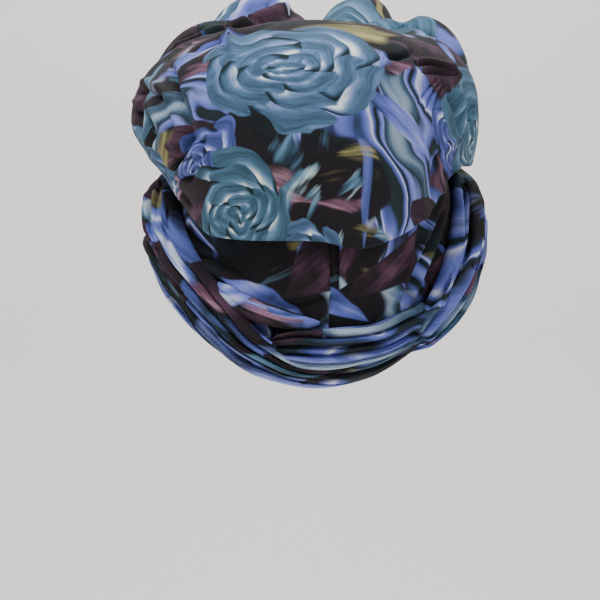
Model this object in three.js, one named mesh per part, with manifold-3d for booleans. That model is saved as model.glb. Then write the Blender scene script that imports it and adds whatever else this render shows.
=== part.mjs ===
// A slouchy jersey chemo cap, as it sits on a head.
//
// Millimetres, +Z up. The wearer's face is towards +Y and the nape towards -Y.
// The origin is the middle of the head opening, at the height of the rim at the ears.
// Azimuths are degrees round +Z: 0 at the nape, 90 at +X, 180 at the forehead, -90 at -X.
//
// Two fitted panels meet in a centre-back seam. A full crown bag is sewn round their top and
// slouches over the back in an overhanging lip. Wound rolls of cloth run round the rim: one low
// roll all the way, and a wrap on each side. The wraps come down to the nape, where a fan of
// pleats is tucked behind the left one.
import * as THREE from 'three';
import Module from 'manifold-3d';
import { mergeVertices } from 'three/addons/utils/BufferGeometryUtils.js';

const wasm = await Module();
wasm.setup();

// The head that the cap is stretched over
const HEAD_LENGTH = 194;
const HEAD_WIDTH = 154;
const HEAD_DOME = 106; // height of the head above its widest level
const WIDEST_LEVEL = 8; // height of the head's widest level
const NAPE_HOLLOW = 0.2; // how far the head draws in at the nape, as a share of its radius

// The cap
const WALL = 1.8; // doubled jersey
const CLEARANCE = 0.4; // between pieces that touch
const NAPE_DROP = 66; // the rim at the nape, below the rim at the ears
const BROW_RISE = 24; // the rim at the forehead, above the rim at the ears
const BAND_WIDTH = 50; // from the rim to the top of the wraps
const BAND_THICKNESS = 18;
const CROWN_RISE = 142; // the gathered crown above the rim at the ears
const PANEL_TUCK = 7; // how far the panels reach up behind the crown's seam
const RIM_TURN = 2; // the panels' edge above the low roll's edge
const LIP_ROUND = 2.6; // radius of the fold along the crown's lip
const LIP_FALL = 4; // how far the lip hangs below the crown's seam
const SEAM_AZIMUTH = 3.8; // the centre-back seam, as it sits a little off the middle

// The rim's height, as a share of NAPE_DROP where it is below the ears and of BROW_RISE above
const RIM = [
  { azimuth: -180, drop: 0, rise: 1 },
  { azimuth: -150, drop: 0, rise: 0.92 },
  { azimuth: -118, drop: 0, rise: 0.65 },
  { azimuth: -92, drop: 0, rise: 0.25 },
  { azimuth: -80, drop: 0.01, rise: 0 },
  { azimuth: -62, drop: 0.22, rise: 0 },
  { azimuth: -48, drop: 0.46, rise: 0 },
  { azimuth: -34, drop: 0.71, rise: 0 },
  { azimuth: -20, drop: 0.91, rise: 0 },
  { azimuth: 0, drop: 1, rise: 0 },
  { azimuth: 18, drop: 0.93, rise: 0 },
  { azimuth: 34, drop: 0.75, rise: 0 },
  { azimuth: 48, drop: 0.52, rise: 0 },
  { azimuth: 62, drop: 0.25, rise: 0 },
  { azimuth: 80, drop: 0.01, rise: 0 },
  { azimuth: 92, drop: 0, rise: 0.25 },
  { azimuth: 118, drop: 0, rise: 0.65 },
  { azimuth: 150, drop: 0, rise: 0.92 },
];

// The crown: heights as shares of CROWN_RISE, radii as shares of the head's radius there. A
// shoulder with full under 1 is fuller than an ellipse
const CROWN = [
  {
    azimuth: -180, lip: 0.55, lipOut: 1.04, belly: 0.76, bellyOut: 1.1,
    crest: 1.03, crestOut: 0.56, full: 0.8,
  },
  {
    azimuth: -150, lip: 0.54, lipOut: 1.06, belly: 0.74, bellyOut: 1.13,
    crest: 1.05, crestOut: 0.6, full: 0.8,
  },
  {
    azimuth: -120, lip: 0.5, lipOut: 1.12, belly: 0.66, bellyOut: 1.2,
    crest: 0.98, crestOut: 0.6, full: 0.88,
  },
  {
    azimuth: -90, lip: 0.42, lipOut: 1.2, belly: 0.57, bellyOut: 1.31,
    crest: 0.91, crestOut: 0.5, full: 1,
  },
  {
    azimuth: -72, lip: 0.38, lipOut: 1.21, belly: 0.54, bellyOut: 1.34,
    crest: 0.89, crestOut: 0.5, full: 1.04,
  },
  {
    azimuth: -58, lip: 0.32, lipOut: 1.19, belly: 0.5, bellyOut: 1.34,
    crest: 0.87, crestOut: 0.5, full: 1,
  },
  {
    azimuth: -44, lip: 0.2, lipOut: 1.18, belly: 0.45, bellyOut: 1.34,
    crest: 0.86, crestOut: 0.5, full: 0.88,
  },
  {
    azimuth: -30, lip: 0.075, lipOut: 1.17, belly: 0.4, bellyOut: 1.34,
    crest: 0.86, crestOut: 0.5, full: 0.78,
  },
  {
    azimuth: -15, lip: 0.055, lipOut: 1.17, belly: 0.38, bellyOut: 1.31,
    crest: 0.87, crestOut: 0.5, full: 0.76,
  },
  {
    azimuth: 0, lip: 0.052, lipOut: 1.165, belly: 0.38, bellyOut: 1.3,
    crest: 0.87, crestOut: 0.5, full: 0.76,
  },
  {
    azimuth: 10, lip: 0.026, lipOut: 1.17, belly: 0.38, bellyOut: 1.3,
    crest: 0.87, crestOut: 0.5, full: 0.76,
  },
  {
    azimuth: 22, lip: 0.07, lipOut: 1.17, belly: 0.4, bellyOut: 1.28,
    crest: 0.87, crestOut: 0.5, full: 0.78,
  },
  {
    azimuth: 34, lip: 0.17, lipOut: 1.18, belly: 0.43, bellyOut: 1.25,
    crest: 0.86, crestOut: 0.5, full: 0.84,
  },
  {
    azimuth: 44, lip: 0.31, lipOut: 1.17, belly: 0.5, bellyOut: 1.23,
    crest: 0.86, crestOut: 0.5, full: 0.9,
  },
  {
    azimuth: 60, lip: 0.4, lipOut: 1.15, belly: 0.57, bellyOut: 1.2,
    crest: 0.88, crestOut: 0.5, full: 0.95,
  },
  {
    azimuth: 90, lip: 0.43, lipOut: 1.13, belly: 0.6, bellyOut: 1.18,
    crest: 0.93, crestOut: 0.56, full: 0.9,
  },
  {
    azimuth: 120, lip: 0.5, lipOut: 1.09, belly: 0.66, bellyOut: 1.16,
    crest: 0.97, crestOut: 0.58, full: 0.84,
  },
  {
    azimuth: 150, lip: 0.54, lipOut: 1.06, belly: 0.74, bellyOut: 1.12,
    crest: 1.05, crestOut: 0.6, full: 0.8,
  },
];
const APEX = 0.9; // height of the crown's middle, as a share of CROWN_RISE
const UNDER_STEPS = 2;
const LOWER_STEPS = 4;
const UPPER_STEPS = 7;
const TOP_STEPS = 4;
const CROWN_STEP = 8; // degrees between the crown's sections, gathers apart

// Gathers: sharp valleys that run up the crown between its puffs. Depth as a share of
// GATHER_DEPTH, start and end as shares of the way from the lip to the apex
const GATHER_DEPTH = 14;
const GATHER_WIDTH = 11;
const GATHERS = [
  { azimuth: -160, depth: 0.25, start: 0.1, end: 0.7 },
  { azimuth: -121, depth: 0.95, start: 0.1, end: 1 },
  { azimuth: -92, depth: 0.55, start: 0.16, end: 0.95 },
  { azimuth: -62, depth: 0.35, start: 0.1, end: 0.55 },
  { azimuth: 58, depth: 0.35, start: 0.1, end: 0.6 },
  { azimuth: 88, depth: 0.6, start: 0.16, end: 0.95 },
  { azimuth: 131, depth: 0.95, start: 0.1, end: 1 },
  { azimuth: 154, depth: 0.25, start: 0.1, end: 0.5 },
  { azimuth: 180, depth: 0.9, start: 0.1, end: 1 },
];
// Puffs: lobes that stand up between the gathers. Share as for a gather, out and span as how
// far a lobe stands up and how far it spreads
const PUFFS = [
  { azimuth: -146, share: 0.62, out: 12, span: 36 },
  { azimuth: 155, share: 0.64, out: 12, span: 32 },
  { azimuth: 106, share: 0.6, out: 10, span: 20 },
  { azimuth: -103, share: 0.6, out: 9, span: 24 },
];
const PUFF_REACH = 0.2; // how far a lobe spreads along the crown's line, as a share of it

// Wound rolls along the rim. Rise, half width and lift are shares of BAND_WIDTH and
// BAND_THICKNESS: rise is the middle of the roll above the rim, lift its bed above the panels
const LOW_ROLL = {
  pleats: 2,
  wander: 0.12,
  rows: [
    { azimuth: -180, rise: 0.16, half: 0.17, thick: 0.66, lift: 0 },
    { azimuth: -120, rise: 0.16, half: 0.17, thick: 0.78, lift: 0 },
    { azimuth: -75, rise: 0.16, half: 0.2, thick: 0.92, lift: 0 },
    { azimuth: -50, rise: 0.16, half: 0.2, thick: 0.88, lift: 0 },
    { azimuth: -34, rise: 0.14, half: 0.17, thick: 0.78, lift: 0 },
    { azimuth: -20, rise: 0.11, half: 0.13, thick: 0.58, lift: 0 },
    { azimuth: -6, rise: 0.1, half: 0.11, thick: 0.46, lift: 0 },
    { azimuth: 14, rise: 0.1, half: 0.11, thick: 0.46, lift: 0 },
    { azimuth: 30, rise: 0.1, half: 0.1, thick: 0.46, lift: 0 },
    { azimuth: 46, rise: 0.12, half: 0.12, thick: 0.55, lift: 0 },
    { azimuth: 70, rise: 0.14, half: 0.15, thick: 0.68, lift: 0 },
    { azimuth: 110, rise: 0.16, half: 0.17, thick: 0.72, lift: 0 },
  ],
};
const LEFT_WRAP = {
  pleats: 3,
  wander: 0.16,
  rows: [
    { azimuth: -179.8, rise: 0.67, half: 0.3, thick: 0.78, lift: 0 },
    { azimuth: -140, rise: 0.67, half: 0.31, thick: 0.85, lift: 0 },
    { azimuth: -105, rise: 0.67, half: 0.31, thick: 0.95, lift: 0 },
    { azimuth: -84, rise: 0.63, half: 0.3, thick: 1, lift: 0 },
    { azimuth: -68, rise: 0.56, half: 0.27, thick: 1, lift: 0 },
    { azimuth: -54, rise: 0.5, half: 0.24, thick: 0.95, lift: 0 },
    { azimuth: -38, rise: 0.45, half: 0.22, thick: 0.92, lift: 0.03 },
    { azimuth: -26, rise: 0.37, half: 0.19, thick: 0.9, lift: 0.1 },
    { azimuth: -17, rise: 0.27, half: 0.15, thick: 0.8, lift: 0.14 },
    { azimuth: -8, rise: 0.17, half: 0.11, thick: 0.64, lift: 0.08 },
    { azimuth: 2, rise: 0.15, half: 0.09, thick: 0.45, lift: 0 },
    { azimuth: 10, rise: 0.16, half: 0.07, thick: 0.3, lift: 0 },
  ],
};
const RIGHT_WRAP = {
  pleats: 3,
  wander: -0.14,
  rows: [
    { azimuth: 33, rise: 0.06, half: 0.1, thick: 0.45, lift: 0.05 },
    { azimuth: 38, rise: 0.1, half: 0.17, thick: 0.75, lift: 0.1 },
    { azimuth: 46, rise: 0.2, half: 0.25, thick: 0.95, lift: 0.12 },
    { azimuth: 57, rise: 0.3, half: 0.28, thick: 1.02, lift: 0.05 },
    { azimuth: 72, rise: 0.46, half: 0.32, thick: 1.02, lift: 0 },
    { azimuth: 92, rise: 0.62, half: 0.33, thick: 1, lift: 0 },
    { azimuth: 130, rise: 0.67, half: 0.31, thick: 0.88, lift: 0 },
    { azimuth: 179.8, rise: 0.67, half: 0.3, thick: 0.78, lift: 0 },
  ],
};
const NAPE_PLEATS = {
  pleats: 5,
  wander: 0.1,
  rows: [
    { azimuth: -17, rise: 0.31, half: 0.1, thick: 0.45, lift: 0 },
    { azimuth: -12, rise: 0.33, half: 0.18, thick: 0.62, lift: 0 },
    { azimuth: -4, rise: 0.37, half: 0.22, thick: 0.68, lift: 0 },
    { azimuth: 6, rise: 0.38, half: 0.22, thick: 0.68, lift: 0 },
    { azimuth: 17, rise: 0.36, half: 0.2, thick: 0.68, lift: 0 },
    { azimuth: 28, rise: 0.33, half: 0.2, thick: 0.66, lift: 0 },
    { azimuth: 38, rise: 0.26, half: 0.19, thick: 0.55, lift: 0 },
    { azimuth: 46, rise: 0.22, half: 0.14, thick: 0.3, lift: 0 },
  ],
};
const TUCK_FOLD = {
  pleats: 1,
  wander: 0,
  rows: [
    { azimuth: -34, rise: 0.68, half: 0.08, thick: 0.4, lift: 0 },
    { azimuth: -26, rise: 0.68, half: 0.12, thick: 0.5, lift: 0 },
    { azimuth: -15, rise: 0.67, half: 0.11, thick: 0.44, lift: 0 },
    { azimuth: -5, rise: 0.66, half: 0.08, thick: 0.32, lift: 0 },
    { azimuth: 1, rise: 0.66, half: 0.05, thick: 0.2, lift: 0 },
  ],
};
const PLEAT_DEPTH = 0.42; // how deep the creases between pleats go, as a share of the roll
const EDGE_SHARE = 0.3; // a roll's thickness at its edges, as a share of its middle
const ROLL_ROUND = 2.6; // power of a roll's rounded back
const ROLL_STEP = 7; // degrees between a roll's sections
const STEPS_PER_PLEAT = 4;
const BED_STEPS = 3;
const BED_DEPTH = 1.2; // how far a roll's bed is sunk before the panels are cut out of it

// Folds of the panels in the open space between the lip and the wraps. Each is a ridge from one
// point to another: azimuths in degrees, heights as shares of NAPE_DROP above the rim at the ears
const FOLD_HEIGHT = 4.5;
const FOLD_WIDTH = 6.5;
const PANEL_FOLDS = [
  { from: -66, fromHeight: 0.32, to: -18, toHeight: -0.06, height: 0.9 },
  { from: -58, fromHeight: 0.02, to: -22, toHeight: -0.26, height: 0.8 },
  { from: 58, fromHeight: 0.5, to: 34, toHeight: -0.22, height: 0.7 },
  { from: 66, fromHeight: 0.3, to: 46, toHeight: -0.1, height: 0.8 },
];
const PANEL_STEP = 7; // degrees between a panel's sections
const PANEL_ROWS = 8;

// The flat fold under the lip on the right, from its low corner to its high one
const BACK_PLEAT_FROM = 6.5;
const BACK_PLEAT_TO = 35;
const BACK_PLEAT_LOW = -0.25; // its low corner, as a share of NAPE_DROP
const BACK_PLEAT_HIGH = 0.25; // its high corner, as a share of NAPE_DROP
const BACK_PLEAT_STEPS = 6;

const radians = THREE.MathUtils.degToRad;

// The shorter way round from one azimuth to another
function turn(from, to) {
  return ((((to - from + 180) % 360) + 360) % 360) - 180;
}

// A column of a table of azimuths, read smoothly and without overshoot. A closed table goes
// right round the head
function read(rows, column, azimuth, closed) {
  const count = rows.length;
  const row = (k) => {
    const lap = Math.floor(k / count);
    const found = rows[k - lap * count];
    return { x: found.azimuth + 360 * lap, y: found[column] };
  };
  let k = 0;
  if (closed) {
    while (row(k + 1).x <= azimuth) k += 1;
    while (row(k).x > azimuth) k -= 1;
  } else {
    while (k < count - 2 && rows[k + 1].azimuth <= azimuth) k += 1;
  }
  const pick = (j) => row(closed ? j : Math.min(count - 1, Math.max(0, j)));
  const [before, start, end, after] = [pick(k - 1), pick(k), pick(k + 1), pick(k + 2)];
  const slope = (a, b) => (b.x === a.x ? 0 : (b.y - a.y) / (b.x - a.x));
  const tangent = (left, right) => (left * right <= 0 ? 0 : (2 * left * right) / (left + right));
  const middle = slope(start, end);
  const m0 = tangent(slope(before, start), middle);
  const m1 = tangent(middle, slope(end, after));
  const span = end.x - start.x;
  const t = Math.min(1, Math.max(0, (azimuth - start.x) / span));
  const t2 = t * t;
  const t3 = t2 * t;
  return (
    (2 * t3 - 3 * t2 + 1) * start.y +
    (t3 - 2 * t2 + t) * span * m0 +
    (3 * t2 - 2 * t3) * end.y +
    (t3 - t2) * span * m1
  );
}

function rim(azimuth) {
  return read(RIM, 'rise', azimuth, true) * BROW_RISE - read(RIM, 'drop', azimuth, true) * NAPE_DROP;
}

// The head's radius at its widest level
function girth(azimuth) {
  const a = radians(azimuth);
  return 1 / Math.hypot((2 * Math.cos(a)) / HEAD_LENGTH, (2 * Math.sin(a)) / HEAD_WIDTH);
}

function headRadius(azimuth, z) {
  const above = z - WIDEST_LEVEL;
  if (above < 0) {
    return girth(azimuth) * (1 - NAPE_HOLLOW * (above / (WIDEST_LEVEL + NAPE_DROP)) ** 2);
  }
  return girth(azimuth) * Math.sqrt(Math.max(0.05, 1 - (above / HEAD_DOME) ** 2));
}

// How far a fold lifts the panels at a point
function foldLift(azimuth, z) {
  const radius = girth(azimuth);
  let lift = 0;
  for (const fold of PANEL_FOLDS) {
    const start = new THREE.Vector2(radians(fold.from) * radius, fold.fromHeight * NAPE_DROP);
    const end = new THREE.Vector2(radians(fold.to) * radius, fold.toHeight * NAPE_DROP);
    const point = new THREE.Vector2(radians(azimuth) * radius, z);
    const way = end.clone().sub(start);
    const share = Math.min(1, Math.max(0, point.clone().sub(start).dot(way) / way.lengthSq()));
    const distance = point.distanceTo(start.clone().addScaledVector(way, share));
    const taper = Math.sqrt(Math.sin(Math.PI * (0.08 + 0.84 * share)));
    const ridge = FOLD_HEIGHT * fold.height * taper * Math.exp(-((distance / FOLD_WIDTH) ** 2));
    lift = Math.max(lift, ridge);
  }
  return lift;
}

// The panels' inner and outer radius
function panelInner(azimuth, z) {
  return headRadius(azimuth, z) + foldLift(azimuth, z);
}

function panelOuter(azimuth, z) {
  return panelInner(azimuth, z) + WALL;
}

function at(azimuth, radius, z) {
  const a = radians(azimuth);
  return new THREE.Vector3(radius * Math.sin(a), -radius * Math.cos(a), z);
}

// Sections from one azimuth to another, no further apart than a step, with extra ones added
function stations(from, to, step, extra = []) {
  const count = Math.max(1, Math.round((to - from) / step));
  const even = Array.from({ length: count + 1 }, (_, i) => from + ((to - from) * i) / count);
  const near = (a) => extra.some((b) => Math.abs(turn(a, b)) < 0.45 * step);
  return [...even.filter((a) => !near(a)), ...extra].sort((a, b) => a - b);
}

// A closed body through loops of points. Loops that aren't joined in a ring get flat ends,
// cut into triangles by each end loop's own flat outline
function skin(loops, outlines) {
  const size = loops[0].length;
  const triangles = [];
  const spans = outlines ? loops.length - 1 : loops.length;
  for (let i = 0; i < spans; i += 1) {
    const next = (i + 1) % loops.length;
    for (let j = 0; j < size; j += 1) {
      const side = (j + 1) % size;
      const corners = [loops[i][j], loops[next][j], loops[next][side], loops[i][side]];
      triangles.push([corners[0], corners[1], corners[2]], [corners[0], corners[2], corners[3]]);
    }
  }
  if (outlines) {
    const ends = [
      { loop: loops[0], outline: outlines[0], flip: false },
      { loop: loops[loops.length - 1], outline: outlines[1], flip: true },
    ];
    for (const { loop, outline, flip } of ends) {
      const clockwise = THREE.ShapeUtils.isClockWise(outline);
      for (const [a, b, c] of THREE.ShapeUtils.triangulateShape(outline, [])) {
        const turned = clockwise !== flip;
        triangles.push(turned ? [loop[a], loop[c], loop[b]] : [loop[a], loop[b], loop[c]]);
      }
    }
  }
  return closedGeometry(triangles);
}

// Triangles as a geometry with shared corners, its faces pointing out, slivers left out
function closedGeometry(triangles) {
  const tiny = 1e-4;
  const whole = triangles.filter(
    ([a, b, c]) => a.distanceTo(b) > tiny && b.distanceTo(c) > tiny && c.distanceTo(a) > tiny,
  );
  const volume = whole.reduce((sum, [a, b, c]) => sum + a.dot(b.clone().cross(c)), 0);
  const corners = whole.flatMap(([a, b, c]) => (volume < 0 ? [a, c, b] : [a, b, c]));
  return mergeVertices(new THREE.BufferGeometry().setFromPoints(corners), tiny);
}

function solidOf(geometry) {
  return new wasm.Manifold(
    new wasm.Mesh({
      numProp: 3,
      vertProperties: geometry.attributes.position.array,
      triVerts: new Uint32Array(geometry.index.array),
    }),
  );
}

// A geometry with the spaces of its neighbours cut out of it, slivers left out
function cutBy(geometry, neighbours) {
  let solid = solidOf(geometry);
  for (const neighbour of neighbours) solid = solid.subtract(solidOf(neighbour));
  const [main] = solid.decompose().sort((a, b) => b.volume() - a.volume());
  const mesh = main.getMesh();
  const points = new Float32Array(mesh.numVert * 3);
  for (let i = 0; i < mesh.numVert; i += 1) {
    points.set(mesh.vertProperties.subarray(i * mesh.numProp, i * mesh.numProp + 3), i * 3);
  }
  const cut = new THREE.BufferGeometry();
  cut.setAttribute('position', new THREE.BufferAttribute(points, 3));
  cut.setIndex(new THREE.BufferAttribute(mesh.triVerts, 1));
  return cut;
}

// The crown's seam is above its lip, and the panels reach a little above the seam
function lipHeight(azimuth) {
  return read(CROWN, 'lip', azimuth, true) * CROWN_RISE;
}

function seamHeight(azimuth) {
  return lipHeight(azimuth) + LIP_FALL;
}

// A fitted panel from one azimuth to another. Grown makes it larger outwards and downwards
function panel(from, to, grown = 0) {
  const loops = stations(from, to, PANEL_STEP).map((azimuth) => {
    const low = rim(azimuth) + RIM_TURN;
    const high = seamHeight(azimuth) + PANEL_TUCK;
    const heights = Array.from(
      { length: PANEL_ROWS + 1 },
      (_, i) => low + ((high - low) * i) / PANEL_ROWS,
    );
    if (grown > 0) heights.unshift(low - 2 * RIM_TURN);
    const outer = heights.map((z) => at(azimuth, panelOuter(azimuth, z) + grown, z));
    const inner = heights.map((z) => at(azimuth, panelInner(azimuth, z), z)).reverse();
    return [...outer, ...inner];
  });
  const outline = (loop) => loop.map((p) => new THREE.Vector2(Math.hypot(p.x, p.y), p.z));
  return skin(loops, [outline(loops[0]), outline(loops[loops.length - 1])]);
}

// The crown's outer line at one azimuth, from its seam under the lip to the apex, as radius,
// height and the share of the way from the lip
function crownLine(azimuth) {
  const around = girth(azimuth);
  const lip = lipHeight(azimuth);
  const seam = seamHeight(azimuth);
  const lipOut = around * read(CROWN, 'lipOut', azimuth, true);
  const bellyOut = around * read(CROWN, 'bellyOut', azimuth, true);
  const belly = read(CROWN, 'belly', azimuth, true) * CROWN_RISE;
  const crest = read(CROWN, 'crest', azimuth, true) * CROWN_RISE;
  const crestOut = around * read(CROWN, 'crestOut', azimuth, true);
  const apex = APEX * CROWN_RISE;
  const full = read(CROWN, 'full', azimuth, true);
  const seat = panelOuter(azimuth, seam) + CLEARANCE;
  const line = [{ radius: seat, z: seam, share: 0 }];
  for (let i = 1; i <= UNDER_STEPS; i += 1) {
    const t = i / UNDER_STEPS;
    const radius = seat + (lipOut - LIP_ROUND - seat) * t;
    line.push({ radius, z: seam + (lip - seam) * Math.sin((t * Math.PI) / 2), share: 0 });
  }
  for (let i = 0; i <= LOWER_STEPS; i += 1) {
    const t = i / LOWER_STEPS;
    const radius = lipOut + (bellyOut - lipOut) * Math.sin((t * Math.PI) / 2);
    line.push({ radius, z: lip + LIP_ROUND + (belly - lip - LIP_ROUND) * t, share: 0.3 * t });
  }
  for (let i = 1; i <= UPPER_STEPS; i += 1) {
    const a = ((i / UPPER_STEPS) * Math.PI) / 2;
    const radius = crestOut + (bellyOut - crestOut) * Math.max(0, Math.cos(a)) ** full;
    const z = belly + (crest - belly) * Math.sin(a) ** full;
    line.push({ radius, z, share: 0.3 + (0.45 * i) / UPPER_STEPS });
  }
  for (let i = 1; i <= TOP_STEPS; i += 1) {
    const t = i / TOP_STEPS;
    const z = crest + (apex - crest) * (3 * t * t - 2 * t * t * t);
    line.push({ radius: crestOut * (1 - t), z, share: 0.75 + 0.25 * t });
  }
  return line;
}

const smooth = THREE.MathUtils.smoothstep;

// How deep the gathers cut into the crown, as a share of a full puff standing between them
function gatherDepth(azimuth, share) {
  let depth = 0;
  for (const gather of GATHERS) {
    const width = GATHER_WIDTH / radians(girth(azimuth));
    const away = Math.abs(turn(azimuth, gather.azimuth)) / width;
    const open = smooth(share, gather.start, gather.start + 0.25);
    const close = 1 - smooth(share, gather.end - 0.3, gather.end);
    depth = Math.max(depth, gather.depth * Math.exp(-(away ** 1.3)) * open * close);
  }
  return depth;
}

// How far the puffs stand up at a point of the crown
function puffHeight(azimuth, share) {
  let height = 0;
  for (const puff of PUFFS) {
    const across = (turn(azimuth, puff.azimuth) * radians(girth(azimuth))) / puff.span;
    const along = (share - puff.share) / PUFF_REACH;
    height = Math.max(height, puff.out * Math.exp(-(across ** 2) - along ** 2));
  }
  return height;
}

// The crown as rings of points: gathers and puffs push its line in and out
function crownLoops() {
  const sides = GATHERS.filter((g) => g.depth > 0.5).flatMap((g) => [g.azimuth - 5, g.azimuth + 5]);
  const extra = [...GATHERS.map((g) => g.azimuth), ...sides]
    .map((a) => (a <= -180 ? a + 360 : a))
    .map((a) => (a > 180 ? a - 360 : a));
  const azimuths = stations(-180, 180, CROWN_STEP, extra).filter((a) => a > -180);
  const outer = azimuths.map((azimuth) =>
    crownLine(azimuth).map(({ radius, z, share }, i, line) => {
      const before = line[Math.max(0, i - 1)];
      const after = line[Math.min(line.length - 1, i + 1)];
      const run = new THREE.Vector2(after.radius - before.radius, after.z - before.z).normalize();
      const depth = GATHER_DEPTH * gatherDepth(azimuth, share);
      const push = puffHeight(azimuth, share) - depth;
      const narrow = Math.min(1, radius / (0.3 * HEAD_WIDTH));
      const out = push * narrow;
      return at(azimuth, Math.max(0, radius + run.y * out), z - run.x * out);
    }),
  );
  const last = outer[0].length - 1;
  const apex = new THREE.Vector3();
  outer.forEach((line) => apex.addScaledVector(line[last - 1], 1 / outer.length));
  apex.setX(0).setY(0);
  outer.forEach((line) => line[last].copy(apex));
  return outer.map((line, i) => {
    const ahead = outer[(i + 1) % outer.length];
    const behind = outer[(i + outer.length - 1) % outer.length];
    const inner = line.map((point, j) => {
      if (j === 0) return point.clone().setZ(point.z + WALL);
      if (j === last) return point.clone().setZ(point.z - WALL);
      const up = line[j + 1].clone().sub(line[j - 1]);
      const steep = ahead[j].clone().sub(behind[j]).cross(up).normalize();
      const plain = at(azimuths[i] + 90, 1, 0).cross(up).normalize();
      return point.clone().addScaledVector(steep.add(plain).normalize(), -WALL);
    });
    return [...line, ...inner.reverse()];
  });
}

// A roll of pleated cloth that lies on the panels. Grown makes it a clearance larger all round
function roll(form, grown = 0) {
  const { rows, pleats, wander } = form;
  const closed = rows[0].azimuth === -180;
  const first = rows[0].azimuth;
  const final = closed ? 180 : rows[rows.length - 1].azimuth;
  const value = (column, azimuth) => read(rows, column, azimuth, closed);
  const middle = (azimuth) => rim(azimuth) + value('rise', azimuth) * BAND_WIDTH;
  const azimuths = stations(first, final, ROLL_STEP);
  if (closed) azimuths.pop();
  const steps = pleats * STEPS_PER_PLEAT;
  const outlines = [];
  const loops = azimuths.map((section, i) => {
    const ends = closed ? 0 : (i === 0 ? -1 : 0) + (i === azimuths.length - 1 ? 1 : 0);
    const radius = girth(section);
    const azimuth = section + THREE.MathUtils.radToDeg((ends * grown) / radius);
    const rise = (middle(azimuth + 1) - middle(azimuth - 1)) / (2 * radians(radius));
    const across = new THREE.Vector2(-rise, 1).normalize();
    const half = value('half', azimuth) * BAND_WIDTH;
    const thick = value('thick', azimuth) * BAND_THICKNESS;
    const bed = value('lift', azimuth) * BAND_THICKNESS - BED_DEPTH - grown;
    const drift = wander * Math.sin(radians(3 * azimuth));
    const place = (share, height) => {
      const reach = share * half + (Math.abs(share) === 1 ? share * grown : 0);
      const a = azimuth + THREE.MathUtils.radToDeg((reach * across.x) / radius);
      const z = middle(azimuth) + reach * across.y;
      return { point: at(a, panelOuter(a, z) + height, z), flat: new THREE.Vector2(share, height) };
    };
    const back = Array.from({ length: steps + 1 }, (_, j) => {
      const even = (2 * j) / steps - 1;
      const share = even + drift * (1 - even * even);
      const round = (1 - Math.abs(even) ** ROLL_ROUND) ** (1 / ROLL_ROUND);
      const crease = pleats > 1 ? (1 - Math.abs(Math.sin((Math.PI * j) / STEPS_PER_PLEAT))) ** 2 : 0;
      const full = EDGE_SHARE + (1 - EDGE_SHARE) * round * (1 - PLEAT_DEPTH * crease);
      return place(share, bed + BED_DEPTH + thick * full + 2 * grown);
    });
    const under = Array.from({ length: BED_STEPS }, (_, j) =>
      place(1 - (2 * j) / (BED_STEPS - 1), bed),
    );
    const loop = [...back, ...under];
    outlines.push(loop.map(({ flat }) => flat));
    return loop.map(({ point }) => point);
  });
  return skin(loops, closed ? null : [outlines[0], outlines[outlines.length - 1]]);
}

// The flat fold that lies on the right panel, its slanting edge low at the seam
function backPleat() {
  const under = WALL + CLEARANCE;
  const loops = Array.from({ length: BACK_PLEAT_STEPS + 1 }, (_, i) => {
    const t = i / BACK_PLEAT_STEPS;
    const azimuth = BACK_PLEAT_FROM + (BACK_PLEAT_TO - BACK_PLEAT_FROM) * t;
    const low = NAPE_DROP * (BACK_PLEAT_LOW + (BACK_PLEAT_HIGH - BACK_PLEAT_LOW) * t);
    const high = Math.max(low + WALL, lipHeight(azimuth) + LIP_FALL / 2);
    const heights = [low, (low + high) / 2, high];
    const place = (z, lift) => at(azimuth, panelInner(azimuth, z) + lift, z);
    return [
      ...heights.map((z) => place(z, under + WALL)),
      ...heights.reverse().map((z) => place(z, under)),
    ];
  });
  const outline = (loop) => loop.map((p) => new THREE.Vector2(Math.hypot(p.x, p.y), p.z));
  return skin(loops, [outline(loops[0]), outline(loops[BACK_PLEAT_STEPS])]);
}

const colour = (hex) => new THREE.MeshStandardMaterial({ color: hex, roughness: 0.85, metalness: 0 });
const cap = new THREE.Group();

function add(name, geometry, material) {
  const mesh = new THREE.Mesh(geometry, material);
  mesh.name = name;
  cap.add(mesh);
}

const panelJersey = colour(0x3a4566);
const crownJersey = colour(0x4a6484);
const wrapJersey = colour(0x54648c);

// Half a clearance of arc on each side of a seam
const seamHalf = THREE.MathUtils.radToDeg(CLEARANCE / 2 / (HEAD_LENGTH / 2));
add('base_panel_left', panel(-180 + seamHalf, SEAM_AZIMUTH - seamHalf), panelJersey);
add('base_panel_right', panel(SEAM_AZIMUTH + seamHalf, 180 - seamHalf), panelJersey);
add('crown_drape', skin(crownLoops()), crownJersey);
add('back_pleat', backPleat(), panelJersey);

// The rolls, outermost first: each gives way to the panels and to the rolls before it
const underneath = [
  panel(-180, SEAM_AZIMUTH, CLEARANCE),
  panel(SEAM_AZIMUTH, 180, CLEARANCE),
];
const rolls = [
  { name: 'band_left_wrap', form: LEFT_WRAP },
  { name: 'band_right_wrap', form: RIGHT_WRAP },
  { name: 'nape_pleats', form: NAPE_PLEATS },
  { name: 'nape_tuck_fold', form: TUCK_FOLD },
  { name: 'band_lower_roll', form: LOW_ROLL },
];
rolls.forEach(({ name, form }, i) => {
  const outer = rolls.slice(0, i).map((other) => roll(other.form, CLEARANCE));
  add(name, cutBy(roll(form), [...underneath, ...outer]), wrapJersey);
});

export default cap;
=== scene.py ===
"""The looks of a slouchy jersey chemo cap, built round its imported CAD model.

Azimuths are degrees round +Z: 0 at the nape, 90 at +X, 180 at the forehead. Shapes are worked
out in millimetres, like the part's source, and turned into metres when a mesh is made.
Folds are drawn as strokes: lines in the 600 x 600 frame of the camera behind the cap.
"""

import math

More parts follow.
